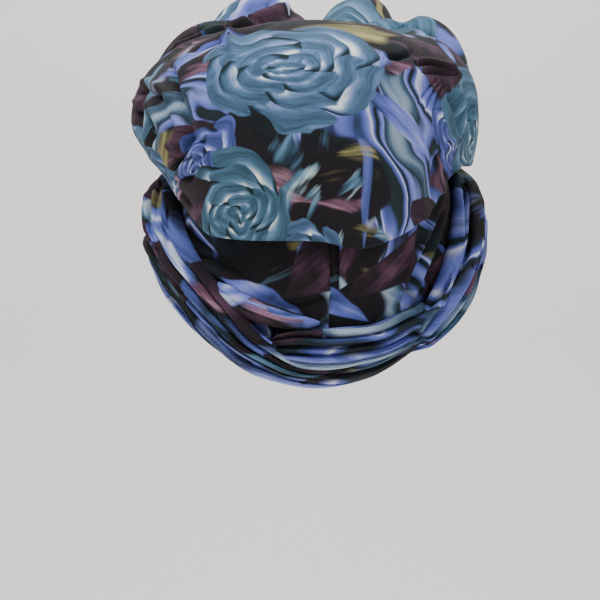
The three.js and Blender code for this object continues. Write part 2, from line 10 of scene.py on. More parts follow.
import bpy
import numpy as np
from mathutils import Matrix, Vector


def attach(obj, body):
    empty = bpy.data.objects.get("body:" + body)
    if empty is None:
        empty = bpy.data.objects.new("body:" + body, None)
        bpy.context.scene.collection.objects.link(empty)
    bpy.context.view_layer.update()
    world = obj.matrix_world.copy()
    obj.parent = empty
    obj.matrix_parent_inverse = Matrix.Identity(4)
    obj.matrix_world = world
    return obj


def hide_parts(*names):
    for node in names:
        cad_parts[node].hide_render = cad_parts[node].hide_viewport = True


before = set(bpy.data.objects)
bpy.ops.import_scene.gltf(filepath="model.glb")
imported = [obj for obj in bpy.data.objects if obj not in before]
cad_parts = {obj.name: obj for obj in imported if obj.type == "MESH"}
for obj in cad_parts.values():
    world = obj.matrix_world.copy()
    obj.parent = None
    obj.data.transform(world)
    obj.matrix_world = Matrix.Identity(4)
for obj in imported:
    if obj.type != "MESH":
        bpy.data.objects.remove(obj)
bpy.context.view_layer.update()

def placed(name, data):
    """A new object in the scene."""
    obj = bpy.data.objects.new(name, data)
    bpy.context.collection.objects.link(obj)
    return obj


# The camera
CAMERA = np.array([-8.4, -900.0, -21.4])  # mm, level, looking along +Y
MM_PER_PIXEL = 0.56 / 900  # of the 600 x 600 frame, for each mm of depth
FRAME = 600
SENSOR = 36  # mm


def add_camera():
    data = bpy.data.cameras.new("camera")
    data.sensor_width = SENSOR
    data.lens = SENSOR / (FRAME * MM_PER_PIXEL)
    data.clip_start = 0.01
    obj = placed("camera", data)
    obj.location = Vector(CAMERA / 1000)
    obj.rotation_euler = (math.pi / 2, 0, 0)
    bpy.context.scene.camera = obj


add_camera()

# Sizes in mm, as in the part's source
HEAD_LENGTH = 194
HEAD_WIDTH = 154
HEAD_DOME = 106
WIDEST_LEVEL = 8
NAPE_HOLLOW = 0.2
WALL = 1.8
CLEARANCE = 0.4
NAPE_DROP = 66
BROW_RISE = 24
BAND_WIDTH = 50
BAND_THICKNESS = 18
CROWN_RISE = 142
PANEL_TUCK = 7
RIM_TURN = 2
LIP_ROUND = 1.6
LIP_FALL = 4
SEAM_AZIMUTH = 3.8
APEX = 0.9
CLOTH_WALL = 1.3  # of the looks alone: the crown's and the panels' cloth
PLEAT_WALL = 1.4

# azimuth, drop as a share of NAPE_DROP, rise as a share of BROW_RISE
RIM = np.array([
    (-180, 0, 1), (-150, 0, 0.92), (-118, 0, 0.65), (-92, 0, 0.25), (-80, 0.01, 0), (-62, 0.22, 0),
    (-48, 0.46, 0), (-34, 0.71, 0), (-20, 0.91, 0), (0, 1, 0), (18, 0.93, 0), (34, 0.75, 0),
    (48, 0.52, 0), (62, 0.25, 0), (80, 0.01, 0), (92, 0, 0.25), (118, 0, 0.65), (150, 0, 0.92),
])

# azimuth, lip, lip out, belly, belly out, crest, crest out, full: see the part's source, where the
# lip is a little higher from 60 to 90 degrees
CROWN = np.array([
    (-180, 0.55, 1.04, 0.76, 1.1, 1.03, 0.56, 0.8), (-150, 0.54, 1.06, 0.74, 1.13, 1.05, 0.6, 0.8),
    (-120, 0.5, 1.12, 0.66, 1.2, 0.98, 0.6, 0.88), (-90, 0.42, 1.2, 0.57, 1.31, 0.91, 0.5, 1),
    (-72, 0.38, 1.21, 0.54, 1.34, 0.89, 0.5, 1.04), (-58, 0.32, 1.19, 0.5, 1.34, 0.87, 0.5, 1),
    (-44, 0.2, 1.18, 0.45, 1.34, 0.86, 0.5, 0.88), (-30, 0.075, 1.17, 0.4, 1.34, 0.86, 0.5, 0.78),
    (-15, 0.055, 1.17, 0.38, 1.31, 0.87, 0.5, 0.76), (0, 0.052, 1.165, 0.38, 1.3, 0.87, 0.5, 0.76),
    (10, 0.026, 1.17, 0.38, 1.3, 0.87, 0.5, 0.76), (22, 0.07, 1.17, 0.4, 1.28, 0.87, 0.5, 0.78),
    (34, 0.17, 1.18, 0.43, 1.25, 0.86, 0.5, 0.84), (44, 0.31, 1.17, 0.5, 1.23, 0.86, 0.5, 0.9),
    (60, 0.36, 1.15, 0.57, 1.2, 0.88, 0.5, 0.95), (90, 0.375, 1.13, 0.6, 1.18, 0.93, 0.56, 0.9),
    (120, 0.5, 1.09, 0.66, 1.16, 0.97, 0.58, 0.84), (150, 0.54, 1.06, 0.74, 1.12, 1.05, 0.6, 0.8),
])
GATHER_DEPTH = 14
GATHER_WIDTH = 11
# azimuth, depth, start, end
GATHERS = [
    (-160, 0.25, 0.1, 0.7), (-121, 0.95, 0.1, 1), (-92, 0.55, 0.16, 0.95), (-62, 0.35, 0.1, 0.55),
    (58, 0.35, 0.1, 0.6), (88, 0.6, 0.16, 0.95), (131, 0.95, 0.1, 1), (154, 0.25, 0.1, 0.5),
    (180, 0.9, 0.1, 1),
]
# azimuth, share, out, span
PUFFS = [(-146, 0.62, 12, 36), (155, 0.64, 12, 32), (106, 0.6, 10, 20), (-103, 0.6, 9, 24)]
PUFF_REACH = 0.2

# azimuth, rise, half, thick, lift: shares, see the part's source, where the right wrap is a little
# wider at 92 degrees
ROLLS = {
    "band_lower_roll": dict(pleats=2, twist=0.9, lean=0.2, rows=[
        (-180, 0.16, 0.17, 0.66, 0), (-120, 0.16, 0.17, 0.78, 0), (-75, 0.16, 0.2, 0.92, 0),
        (-50, 0.16, 0.2, 0.88, 0), (-34, 0.14, 0.17, 0.78, 0), (-20, 0.11, 0.13, 0.58, 0),
        (-6, 0.1, 0.11, 0.46, 0), (14, 0.1, 0.11, 0.46, 0), (30, 0.1, 0.1, 0.46, 0),
        (46, 0.12, 0.12, 0.55, 0), (70, 0.14, 0.15, 0.68, 0), (110, 0.16, 0.17, 0.72, 0)]),
    "band_left_wrap": dict(pleats=4, twist=1.5, lean=0.25, rows=[
        (-179.8, 0.67, 0.3, 0.78, 0), (-140, 0.67, 0.31, 0.85, 0), (-105, 0.67, 0.31, 0.95, 0),
        (-84, 0.63, 0.3, 1, 0), (-68, 0.56, 0.27, 1, 0), (-54, 0.5, 0.24, 0.95, 0),
        (-38, 0.45, 0.22, 0.92, 0.03), (-26, 0.37, 0.19, 0.9, 0.1), (-17, 0.27, 0.15, 0.8, 0.14),
        (-8, 0.17, 0.11, 0.64, 0.08), (2, 0.15, 0.09, 0.45, 0), (10, 0.16, 0.07, 0.3, 0)]),
    "band_right_wrap": dict(pleats=4, twist=-1.5, lean=-0.25, rows=[
        (33, 0.06, 0.1, 0.45, 0.05), (38, 0.1, 0.17, 0.75, 0.1), (46, 0.2, 0.25, 0.95, 0.12),
        (57, 0.3, 0.28, 1.02, 0.05), (72, 0.46, 0.32, 1.02, 0), (92, 0.6, 0.3, 1, 0),
        (130, 0.67, 0.31, 0.88, 0), (179.8, 0.67, 0.3, 0.78, 0)]),
    "nape_pleats": dict(pleats=5, twist=0.25, lean=-0.3, rows=[
        (-17, 0.31, 0.1, 0.45, 0), (-12, 0.33, 0.18, 0.62, 0), (-4, 0.37, 0.22, 0.68, 0),
        (6, 0.38, 0.22, 0.68, 0), (17, 0.36, 0.2, 0.68, 0), (28, 0.33, 0.2, 0.66, 0),
        (38, 0.26, 0.19, 0.55, 0), (46, 0.22, 0.14, 0.3, 0)]),
    "nape_tuck_fold": dict(pleats=1, twist=0, lean=0, rows=[
        (-34, 0.68, 0.08, 0.4, 0), (-26, 0.68, 0.12, 0.5, 0), (-15, 0.67, 0.11, 0.44, 0),
        (-5, 0.66, 0.08, 0.32, 0), (1, 0.66, 0.05, 0.2, 0)]),
}
BACK_PLEAT = dict(start=6.5, end=35, low=-0.25, high=0.25)


# Reading the tables
def read(table, column, azimuth, closed=True):
    """A column of a table at some azimuths, smoothly and without overshoot."""
    rows = np.asarray(table, float)
    x, y = rows[:, 0], rows[:, column]
    at = np.asarray(azimuth, float)
    if closed:
        x = np.concatenate([x - 360, x, x + 360])
        y = np.tile(y, 3)
        at = (at + 180) % 360 - 180
    slope = np.diff(y) / np.diff(x)
    a, b = slope[:-1], slope[1:]
    both = np.where(a * b > 0, a + b, 1)
    tangent = np.concatenate([[0], np.where(a * b > 0, 2 * a * b / both, 0), [0]])
    k = np.clip(np.searchsorted(x, at, side="right") - 1, 0, len(x) - 2)
    span = x[k + 1] - x[k]
    t = np.clip((at - x[k]) / span, 0, 1)
    return (
        (2 * t**3 - 3 * t**2 + 1) * y[k] + (t**3 - 2 * t**2 + t) * span * tangent[k]
        + (3 * t**2 - 2 * t**3) * y[k + 1] + (t**3 - t**2) * span * tangent[k + 1]
    )


def smooth(x, low, high):
    t = np.clip((np.asarray(x, float) - low) / (high - low), 0, 1)
    return t * t * (3 - 2 * t)


def turn(a, b):
    """The shorter way round from azimuth b to azimuth a, in degrees."""
    return (np.asarray(a, float) - b + 180) % 360 - 180


def rim(azimuth):
    return read(RIM, 2, azimuth) * BROW_RISE - read(RIM, 1, azimuth) * NAPE_DROP


def girth(azimuth):
    a = np.radians(azimuth)
    return 1 / np.hypot(2 * np.cos(a) / HEAD_LENGTH, 2 * np.sin(a) / HEAD_WIDTH)


def panel_outer(azimuth, z):
    above = z - WIDEST_LEVEL
    low = 1 - NAPE_HOLLOW * (above / (WIDEST_LEVEL + NAPE_DROP)) ** 2
    high = np.sqrt(np.maximum(0.05, 1 - (above / HEAD_DOME) ** 2))
    return girth(azimuth) * np.where(above < 0, low, high) + WALL


def at(azimuth, radius, z):
    a = np.radians(azimuth)
    return np.stack(np.broadcast_arrays(radius * np.sin(a), -radius * np.cos(a), z), axis=-1)


def ripple(point, length, seed):
    """A smooth, soft unevenness between about -1 and 1 with features of that length in mm."""
    rng = np.random.default_rng(seed)
    total = 0
    for _ in range(5):
        way = rng.normal(size=3)
        way *= rng.uniform(0.7, 1.4) * 2 * math.pi / length / np.linalg.norm(way)
        total = total + np.sin(point @ way + rng.uniform(0, 2 * math.pi))
    return total / 3


# Meshes
def normals(points, wrapped):
    """Unit normals of a grid of points, wrapped or not along its first side."""
    if wrapped:
        along = np.roll(points, -1, axis=0) - np.roll(points, 1, axis=0)
    else:
        along = np.gradient(points, axis=0)
    up = np.gradient(points, axis=1)
    n = np.cross(along, up)
    return n / np.maximum(np.linalg.norm(n, axis=2, keepdims=True), 1e-9)


def arc(points, axis):
    """Distance along one side of a grid of points, from its start."""
    step = np.linalg.norm(np.diff(points, axis=axis), axis=2)
    pad = [(0, 0), (0, 0)]
    pad[axis] = (1, 0)
    return np.cumsum(np.pad(step, pad), axis=axis)


def make(name, points, faces, material):
    """A shaded mesh object from points in mm and (corner numbers, corner UVs) of quads or triangles."""
    mesh = bpy.data.meshes.new(name)
    mesh.vertices.add(len(points))
    mesh.vertices.foreach_set("co", (np.asarray(points) / 1000).astype(np.float32).ravel())
    corners = np.concatenate([np.asarray(c, np.int32).ravel() for c, _ in faces])
    sides = np.concatenate([np.full(len(c), np.asarray(c).shape[1], np.int32) for c, _ in faces])
    mesh.loops.add(len(corners))
    mesh.loops.foreach_set("vertex_index", corners)
    mesh.polygons.add(len(sides))
    mesh.polygons.foreach_set("loop_start", (np.cumsum(sides) - sides).astype(np.int32))
    mesh.update(calc_edges=True)
    layer = mesh.uv_layers.new(name="cloth")
    uv = np.concatenate([np.asarray(t, np.float32).ravel() for _, t in faces])
    layer.data.foreach_set("uv", uv)
    mesh.validate()
    mesh.shade_smooth()
    mesh.materials.append(material)
    obj = placed(name, mesh)
    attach(obj, "root")
    return obj


def quads(nu, nv, wrapped, step=1):
    """Places of the corners of a grid's faces, anticlockwise, with every step-th line."""
    lines = np.arange(0, nu if wrapped else nu - 1, step)
    i, j = (a.ravel() for a in np.meshgrid(lines, np.arange(0, nv - 1, step), indexing="ij"))
    return np.stack([i, i + step, i + step, i], axis=1), np.stack([j, j, j + step, j + step], axis=1)


def shell(name, outer, uv, thickness, wrapped, material):
    """A closed sheet of cloth: an outer grid, one half as fine a thickness further in, and hems."""
    nu, nv = outer.shape[:2]
    inner = outer - normals(outer, wrapped) * thickness
    count = nu * nv
    spot = lambda i, j, side: (i % nu) * nv + j + side * count
    faces = []

    def put(i, j, side):
        i, j = np.asarray(i), np.asarray(j)
        faces.append((spot(i, j, np.asarray(side)), uv[i, j]))

    def hem(starts, edge, crosswise, back):
        """Faces along an edge: two outer steps for each inner one, so a quad and a triangle."""
        order = slice(None, None, -1) if back else slice(None)
        for steps, side in (((1, 0, 0, 2), (0, 0, 1, 1)), ((2, 1, 2), (0, 0, 1))):
            run = np.stack([starts + step for step in steps[order]], axis=1)
            rest = np.full_like(run, edge)
            put(*((rest, run) if crosswise else (run, rest)), side[order])

    i, j = quads(nu, nv, wrapped)
    put(i, j, 0)
    i, j = quads(nu, nv, wrapped, 2)
    put(i[:, ::-1], j[:, ::-1], 1)
    for edge, back in ((0, False), (nv - 1, True)):
        hem(np.arange(0, nu if wrapped else nu - 1, 2), edge, False, back)
    if not wrapped:
        for edge, back in ((0, True), (nu - 1, False)):
            hem(np.arange(0, nv - 1, 2), edge, True, back)
    points = np.concatenate([outer.reshape(-1, 3), inner.reshape(-1, 3)])
    used = np.unique(np.concatenate([c.ravel() for c, _ in faces]))
    renumbered = np.zeros(len(points), np.int32)
    renumbered[used] = np.arange(len(used))
    return make(name, points[used], [(renumbered[c], t) for c, t in faces], material)


def odd(azimuth):
    """The same azimuths, less one if their number is even, so that every other one can be used."""
    return azimuth if len(azimuth) % 2 else np.delete(azimuth, len(azimuth) // 2, axis=0)


# Folds drawn as strokes
STROKE_REACH = 6  # widths of a stroke beyond which it does nothing
FACING = (0.12, 0.5)  # how squarely cloth faces the camera where strokes start and where they are whole


def pixels(points):
    """Where points show in the 600 x 600 frame."""
    depth = points[..., 1] - CAMERA[1]
    x = FRAME / 2 + (points[..., 0] - CAMERA[0]) / (MM_PER_PIXEL * depth)
    y = FRAME / 2 - (points[..., 2] - CAMERA[2]) / (MM_PER_PIXEL * depth)
    return np.stack([x, y], axis=-1)


def along_stroke(spots, line):
    """Signed distance from a polyline, left of it positive, and the share of the way along it."""
    line = np.asarray(line, float)
    steps = np.diff(line, axis=0)
    lengths = np.linalg.norm(steps, axis=1)
    whole = lengths.sum()
    best = np.full(spots.shape[:-1], 1e9)
    side = np.zeros_like(best)
    share = np.zeros_like(best)
    done = 0.0
    for start, step, length in zip(line[:-1], steps, lengths):
        off = spots - start
        t = np.clip((off @ step) / length**2, 0, 1)
        gap = off - t[..., None] * step
        distance = np.linalg.norm(gap, axis=-1)
        nearer = distance < best
        best = np.where(nearer, distance, best)
        side = np.where(nearer, np.sign(step[1] * off[..., 0] - step[0] * off[..., 1]), side)
        share = np.where(nearer, (done + t * length) / whole, share)
        done += length
    return best * np.where(side < 0, -1, 1), share


def rounded(line, times=3):
    """A polyline with its corners cut, so that a fold bends softly."""
    line = np.asarray(line, float)
    for _ in range(times):
        if len(line) < 3:
            return line
        a, b = line[:-1], line[1:]
        mid = np.stack([0.75 * a + 0.25 * b, 0.25 * a + 0.75 * b], axis=1).reshape(-1, 2)
        line = np.concatenate([line[:1], mid[1:-1], line[-1:]])
    return line


def stroke_height(spots, kind, line, height, width, ends=(0.2, 0.2)):
    """How far one stroke lifts the cloth, in mm.

    ridge: a soft round fold. crease: a sharp valley. lap: the cloth to the left of the line
    lies a fold higher than that to its right, and falls away slowly.
    """
    distance, share = along_stroke(spots, rounded(line))
    taper = smooth(share, -0.01, max(ends[0], 0.01))
    taper = taper * (1 - smooth(share, 1 - max(ends[1], 0.01), 1.01))
    d = distance / width
    if kind == "ridge":
        shape = np.exp(-(d**2))
    elif kind == "crease":
        shape = -1 / (1 + (d / 0.75) ** 2) ** 1.5
    elif kind == "lap":
        shape = np.where(d > 0, np.exp(-d * 0.8), 0) * smooth(distance, -0.5, 0.5)
        shape = shape - 0.5 * np.where(d < 0, np.exp(d * 2.2), 0)
    else:
        raise ValueError(kind)
    return np.where(np.abs(distance) > STROKE_REACH * width, 0, height * taper * shape)


def sculpt(points, wrapped, strokes):
    """Points moved along their normals by strokes, where they face the camera behind the cap."""
    spots = pixels(points)
    n = normals(points, wrapped)
    facing = smooth(-n[..., 1], *FACING)
    lift = np.zeros(spots.shape[:-1])
    for stroke in strokes:
        line, reach = np.asarray(stroke[1], float), STROKE_REACH * stroke[3]
        low, high = line.min(axis=0) - reach, line.max(axis=0) + reach
        near = ((spots > low) & (spots < high)).all(axis=-1) & (facing > 0)
        lift[near] += stroke_height(spots[near], *stroke)
    return points + n * (lift * facing)[..., None]


# The print and the knit
class Graph:
    """A small writer of shader nodes: each method gives an output socket, or several."""

    def __init__(self, tree):
        self.tree = tree

    def add(self, kind, inputs=(), **settings):
        n = self.tree.nodes.new(kind)
        for key, value in settings.items():
            setattr(n, key, value)
        for key, value in dict(inputs).items():
            self.put(n.inputs[key], value)
        return n

    def put(self, socket, value):
        if isinstance(value, bpy.types.NodeSocket):
            self.tree.links.new(value, socket)
        elif value is not None:
            socket.default_value = value

    def math(self, operation, a, b=None, c=None, clamp=False):
        n = self.add("ShaderNodeMath", operation=operation, use_clamp=clamp)
        for socket, value in zip(n.inputs, (a, b, c)):
            self.put(socket, value)
        return n.outputs[0]

    def times(self, a, b):
        return self.math("MULTIPLY", a, b)

    def plus(self, a, b):
        return self.math("ADD", a, b)

    def minus(self, a, b):
        return self.math("SUBTRACT", a, b)

    def vector(self, operation, a, b=None, scale=None):
        n = self.add("ShaderNodeVectorMath", operation=operation)
        self.put(n.inputs[0], a)
        self.put(n.inputs[1], b)
        if scale is not None:
            self.put(n.inputs["Scale"], scale)
        return n.outputs[0]

    def split(self, a):
        return self.add("ShaderNodeSeparateXYZ", {0: a}).outputs

    def join(self, x, y, z=0.0):
        return self.add("ShaderNodeCombineXYZ", {0: x, 1: y, 2: z}).outputs[0]

    def noise(self, vector, scale, detail=2.0, roughness=0.5, distortion=0.0):
        n = self.add("ShaderNodeTexNoise", {"Vector": vector, "Scale": scale, "Detail": detail})
        n.inputs["Roughness"].default_value = roughness
        n.inputs["Distortion"].default_value = distortion
        return n.outputs

    def grain(self, x, y, along, across, layer, detail=2.0, roughness=0.5):
        """Noise drawn out along x, on a layer of its own."""
        spot = self.join(self.times(x, along), self.times(y, across), layer)
        return self.noise(spot, 1.0, detail, roughness)[0]

    def centred(self, a):
        return self.minus(a, 0.5)

    def warped(self, spot, sway, amount):
        """A place pushed about by a noise's colour."""
        off = self.vector("SUBTRACT", sway, (0.5, 0.5, 0.5))
        return self.vector("ADD", spot, self.vector("SCALE", off, scale=amount))

    def mix(self, factor, a, b, blend="MIX"):
        n = self.add("ShaderNodeMix", data_type="RGBA", blend_type=blend)
        n.clamp_factor = True
        self.put(n.inputs[0], factor)
        self.put(n.inputs[6], a)
        self.put(n.inputs[7], b)
        return n.outputs[2]

    def step(self, x, low, high):
        n = self.add("ShaderNodeMapRange", {0: x, 1: low, 2: high}, interpolation_type="SMOOTHSTEP")
        return n.outputs[0]

    def below(self, x, low, high):
        """1 where x is under low, falling to 0 at high."""
        return self.minus(1.0, self.step(x, low, high))

    def picked(self, chance, share):
        """1 for that share of the cells and 0 for the others, by a random number of each."""
        return self.step(chance, 1 - share - 0.01, 1 - share + 0.01)

    def ramp(self, factor, stops):
        """Straight lines between stops, each a place and a colour of 0 to 255 or a plain number."""
        n = self.add("ShaderNodeValToRGB", {0: factor})
        elements = n.color_ramp.elements
        while len(elements) < len(stops):
            elements.new(0.5)
        for element, (place, value) in zip(elements, stops):
            element.position = place
            element.color = (*linear(value), 1) if isinstance(value, tuple) else (value, value, value, 1)
        return n.outputs[0]


def linear(colour):
    """A colour of 0 to 255 as seen on a screen, as linear light."""
    c = np.asarray(colour, float) / 255
    return tuple(np.where(c <= 0.04045, c / 12.92, ((c + 0.055) / 1.055) ** 2.4).tolist())


def spun(g, local, angle):
    """The two parts of a vector turned by an angle."""
    x, y, _ = g.split(local)
    c, s = g.math("COSINE", angle), g.math("SINE", angle)
    return g.minus(g.times(x, c), g.times(y, s)), g.plus(g.times(x, s), g.times(y, c))


def cells(g, uv, scale, randomness, shift):
    """Scattered middles: the place from the nearest one, and three random numbers of its own."""
    moved = g.vector("ADD", uv, (shift[0], shift[1], 0))
    n = g.add(
        "ShaderNodeTexVoronoi",
        {"Vector": moved, "Scale": scale, "Randomness": randomness},
        voronoi_dimensions="2D",
        feature="F1",
    )
    local = g.vector("SUBTRACT", moved, n.outputs["Position"])
    return local, g.add("ShaderNodeSeparateColor", {0: n.outputs["Color"]}).outputs


# from the outermost ring in: outer and inner edge as shares of the radius, petals, and their phase
RINGS = (
    (1.0, 0.66, 5, 0.1), (0.76, 0.46, 5, 0.62), (0.54, 0.27, 4, 0.3),
    (0.34, 0.12, 3, 0.8), (0.17, 0.0, 2, 0.2),
)
# how light a petal is, from where it comes out under the next ring to its own edge
PETAL = ((0.0, 0.0), (0.05, 0.02), (0.13, 0.95), (0.3, 0.74), (0.55, 0.36), (0.86, 0.26), (1.0, 0.4))
PETAL_MIDDLE = 0.34
SPIRAL = -1.7  # radians that the petals turn on the way out


def blossoms(g, under, uv, scale, radius, shift, share, palettes):
    """Round blossoms: rings of cupped petals, dark where they go under, brushed with light."""
    local, chance = cells(g, uv, scale, 0.6, shift)
    x, y = spun(g, local, g.times(chance[0], 6.28))
    y = g.math("DIVIDE", y, g.plus(0.84, g.times(chance[1], 0.22)))
    x, y, _ = g.split(g.warped(g.join(x, y), g.noise(uv, 3.2, 2, 0.5)[1], 0.22))
    size = g.times(radius, g.plus(0.86, g.times(chance[2], 0.24)))
    r = g.math("SQRT", g.plus(g.times(x, x), g.times(y, y)))
    q = g.math("DIVIDE", r, size)
    angle = g.plus(g.math("ARCTAN2", y, x), g.times(q, SPIRAL))
    round_x = g.times(g.math("COSINE", angle), 1.7)
    round_y = g.times(g.math("SINE", angle), 1.7)

    def round_noise(outward, roughness):
        """Noise round the blossom, which changes on the way out."""
        layer = g.plus(chance[0], g.times(q, outward))
        return g.centred(g.noise(g.join(round_x, round_y, layer), 1.0, 2, roughness)[0])

    wash, hairs = round_noise(3.2, 0.5), round_noise(42, 0.6)
    lit = g.plus(0.3, g.math("MULTIPLY_ADD", wash, 3.0, 0.6, clamp=True))
    brushed = g.plus(g.times(hairs, 0.3), g.times(wash, 0.35))
    uneven = g.times(wash, 0.1)
    own = g.times(chance[0], 3)
    cover = value = None
    for edge, inner, petals, phase in RINGS:
        start = g.plus(phase, own)
        p = g.math("FRACT", g.math("MULTIPLY_ADD", angle, petals / (2 * math.pi), start))
        bow = g.math("POWER", g.math("SINE", g.times(p, math.pi)), 0.55)
        # each petal starts under the last one and rises over the next
        outline = g.plus(g.math("MULTIPLY_ADD", bow, 0.2, 0.78), g.times(p, 0.05))
        gap = g.minus(g.plus(q, uneven), g.times(edge, outline))
        inside = g.minus(g.math("MULTIPLY_ADD", p, 0.06, q), inner)
        body = g.ramp(g.math("DIVIDE", inside, edge - inner, clamp=True), PETAL)
        body = g.minus(body, PETAL_MIDDLE)
        petal = g.math("MULTIPLY_ADD", body, lit, g.plus(brushed, PETAL_MIDDLE))
        petal = g.math("MULTIPLY_ADD", g.below(p, 0.0, 0.2), -0.5, petal, clamp=True)
        mask = g.below(gap, -0.012, 0.012)
        if value is None:
            cover, value = mask, petal
        else:
            value = g.math("MULTIPLY_ADD", g.minus(petal, value), mask, value)
    first, second = (g.ramp(value, palette) for palette in palettes)
    tone = g.mix(g.step(chance[1], 0.45, 0.55), first, second)
    return g.mix(g.times(cover, g.picked(chance[2], share)), under, tone)


def leaves(g, under, uv, scale, length, shift, share, stops, broad=0.5):
    """Pointed leaves or slim petals, at any angle, brushed lengthwise."""
    local, chance = cells(g, uv, scale, 0.85, shift)
    x, y = spun(g, local, g.times(chance[0], 6.28))
    along = g.math("ABSOLUTE", g.math("DIVIDE", x, length))
    width = g.times(length * broad, g.minus(1.0, g.math("POWER", along, 1.6)))
    brush = g.grain(x, y, 3, 20, chance[1], roughness=0.6)
    across = g.plus(g.math("ABSOLUTE", y), g.times(g.centred(brush), 0.02))
    mask = g.below(g.minus(across, width), -0.006, 0.006)
    mask = g.times(mask, g.picked(chance[2], share))
    wash = g.noise(g.vector("ADD", uv, (3.3, 9.1, 0)), 4.2, 2, 0.5)[0]
    tone = g.ramp(g.plus(g.times(brush, 0.5), g.times(wash, 0.5)), stops)
    return g.mix(mask, under, tone)


def strokes_of_paint(g, under, uv, seed, low, stops, turned, size, bend):
    """Loose broad brush strokes that bend with the cloth's warp."""
    sway = g.noise(g.vector("ADD", uv, (seed, 0, 0)), 1.2, 1, 0.5)[1]
    x, y = spun(g, g.warped(uv, sway, bend), turned)
    brush = g.grain(x, y, 1.9 * size, 4.6 * size, seed)
    bristle = g.centred(g.grain(x, y, 2.5, 34, seed + 3.0, roughness=0.6))
    mask = g.step(g.plus(brush, g.times(bristle, 0.1)), low, low + 0.07)
    tint = g.plus(g.grain(x, y, 2.0, 6.5, seed + 7.0), g.times(bristle, 0.4))
    return g.mix(mask, under, g.ramp(tint, stops))


def ruffles(g, under, uv, seed, low, turned, stops, bend):
    """Curling bands of light and dark paint, like a ruffled petal."""
    sway = g.noise(g.vector("ADD", uv, (0, seed, 0)), 1.5, 2, 0.5)[1]
    x, y = spun(g, g.warped(uv, sway, bend), turned)
    hairs = g.centred(g.grain(x, y, 2.0, 40, seed + 2.0, roughness=0.6))
    band = g.plus(g.grain(x, y, 0.9, 3.3, seed, 1, 0.4), g.times(hairs, 0.03))
    place = g.noise(g.vector("ADD", uv, (seed, 4.7, 0)), 1.5, 2, 0.5)[0]
    return g.mix(g.step(place, low, low + 0.03), under, g.ramp(band, stops))


# the print's paints: how far from dark to light, and the colour there
STEEL = [
    (0.0, (14, 30, 36)), (0.2, (38, 64, 82)), (0.42, (82, 112, 146)),
    (0.62, (124, 144, 184)), (0.78, (176, 194, 210)), (0.95, (232, 236, 230)),
]
TEAL = [
    (0.0, (14, 32, 36)), (0.2, (34, 62, 74)), (0.42, (74, 110, 136)),
    (0.62, (112, 142, 172)), (0.78, (172, 192, 202)), (0.95, (238, 238, 228)),
]
DUSK = [
    (0.0, (18, 30, 38)), (0.2, (36, 48, 84)), (0.42, (78, 90, 158)),
    (0.62, (120, 130, 204)), (0.78, (160, 168, 220)), (0.95, (226, 230, 240)),
]
GROUND = [(0.32, (13, 12, 17)), (0.46, (25, 19, 25)), (0.53, (16, 18, 24)), (0.66, (22, 36, 36))]
PLUM = [(0.3, (40, 25, 36)), (0.42, (78, 50, 68)), (0.55, (120, 84, 104)), (0.7, (168, 128, 146))]
PERIWINKLE = [(0.28, (32, 44, 78)), (0.42, (72, 86, 150)), (0.55, (108, 120, 196)), (0.68, (178, 186, 222))]
OLIVE = [(0.3, (64, 64, 46)), (0.5, (118, 112, 74)), (0.68, (184, 176, 112))]
RIVER = [(0.28, (26, 44, 56)), (0.42, (56, 86, 108)), (0.55, (92, 130, 156)), (0.68, (186, 206, 212))]
LEAF = [(0.3, (20, 15, 20)), (0.48, (36, 26, 33)), (0.56, (58, 38, 52)), (0.68, (98, 64, 84))]
RUFFLE = [
    (0.24, (20, 30, 32)), (0.34, (24, 40, 44)), (0.375, (74, 88, 156)), (0.42, (110, 120, 200)),
    (0.45, (206, 212, 232)), (0.465, (96, 110, 184)), (0.49, (24, 40, 44)), (0.525, (22, 28, 34)),
    (0.55, (88, 100, 172)), (0.59, (128, 138, 208)), (0.615, (30, 46, 54)), (0.66, (70, 96, 120)),
    (0.72, (158, 178, 196)),
]
SLIM = [(0.36, (40, 52, 96)), (0.47, (88, 100, 176)), (0.56, (124, 134, 206)), (0.66, (196, 204, 226))]
# seed, paint, angle, how much rarer than the first, size
PAINT_STROKES = [
    (3.1, PLUM, 0.5, 0, 1.0), (9.4, PERIWINKLE, 1.5, 0, 1.0),
    (15.2, RIVER, 2.3, 0.015, 1.0), (5.9, OLIVE, 2.9, 0.025, 0.9),
]
UV_UNIT = 100  # mm of cloth for one unit of the print
WALES, COURSES = 90, 120  # of the knit, in one unit of the print


def knitted(g, surface, raw, paint):
    """A print on a fine knit, whose ribs and fuzz shade it and catch the light."""
    u, v, _ = g.split(raw)
    wale = g.math("SINE", g.times(u, 2 * math.pi * WALES))
    course = g.math("SINE", g.times(v, 2 * math.pi * COURSES))
    knit = g.plus(g.times(wale, 0.7), g.times(course, 0.3))
    fuzz = g.noise(raw, 60.0, 3, 0.6)[0]
    shade = g.plus(0.9, g.times(knit, 0.05))
    shade = g.plus(shade, g.times(fuzz, 0.1))
    height = g.plus(knit, g.times(fuzz, 1.2))
    bump = g.add("ShaderNodeBump", {"Strength": 0.3, "Distance": 0.0004, "Height": height})
    g.put(surface.inputs["Base Color"], g.mix(1.0, paint, g.join(shade, shade, shade), "MULTIPLY"))
    g.put(surface.inputs["Normal"], bump.outputs[0])
    surface.inputs["Roughness"].default_value = 0.8
    surface.inputs["Specular IOR Level"].default_value = 0.2
    surface.inputs["Sheen Weight"].default_value = 0.03
    surface.inputs["Sheen Roughness"].default_value = 0.5


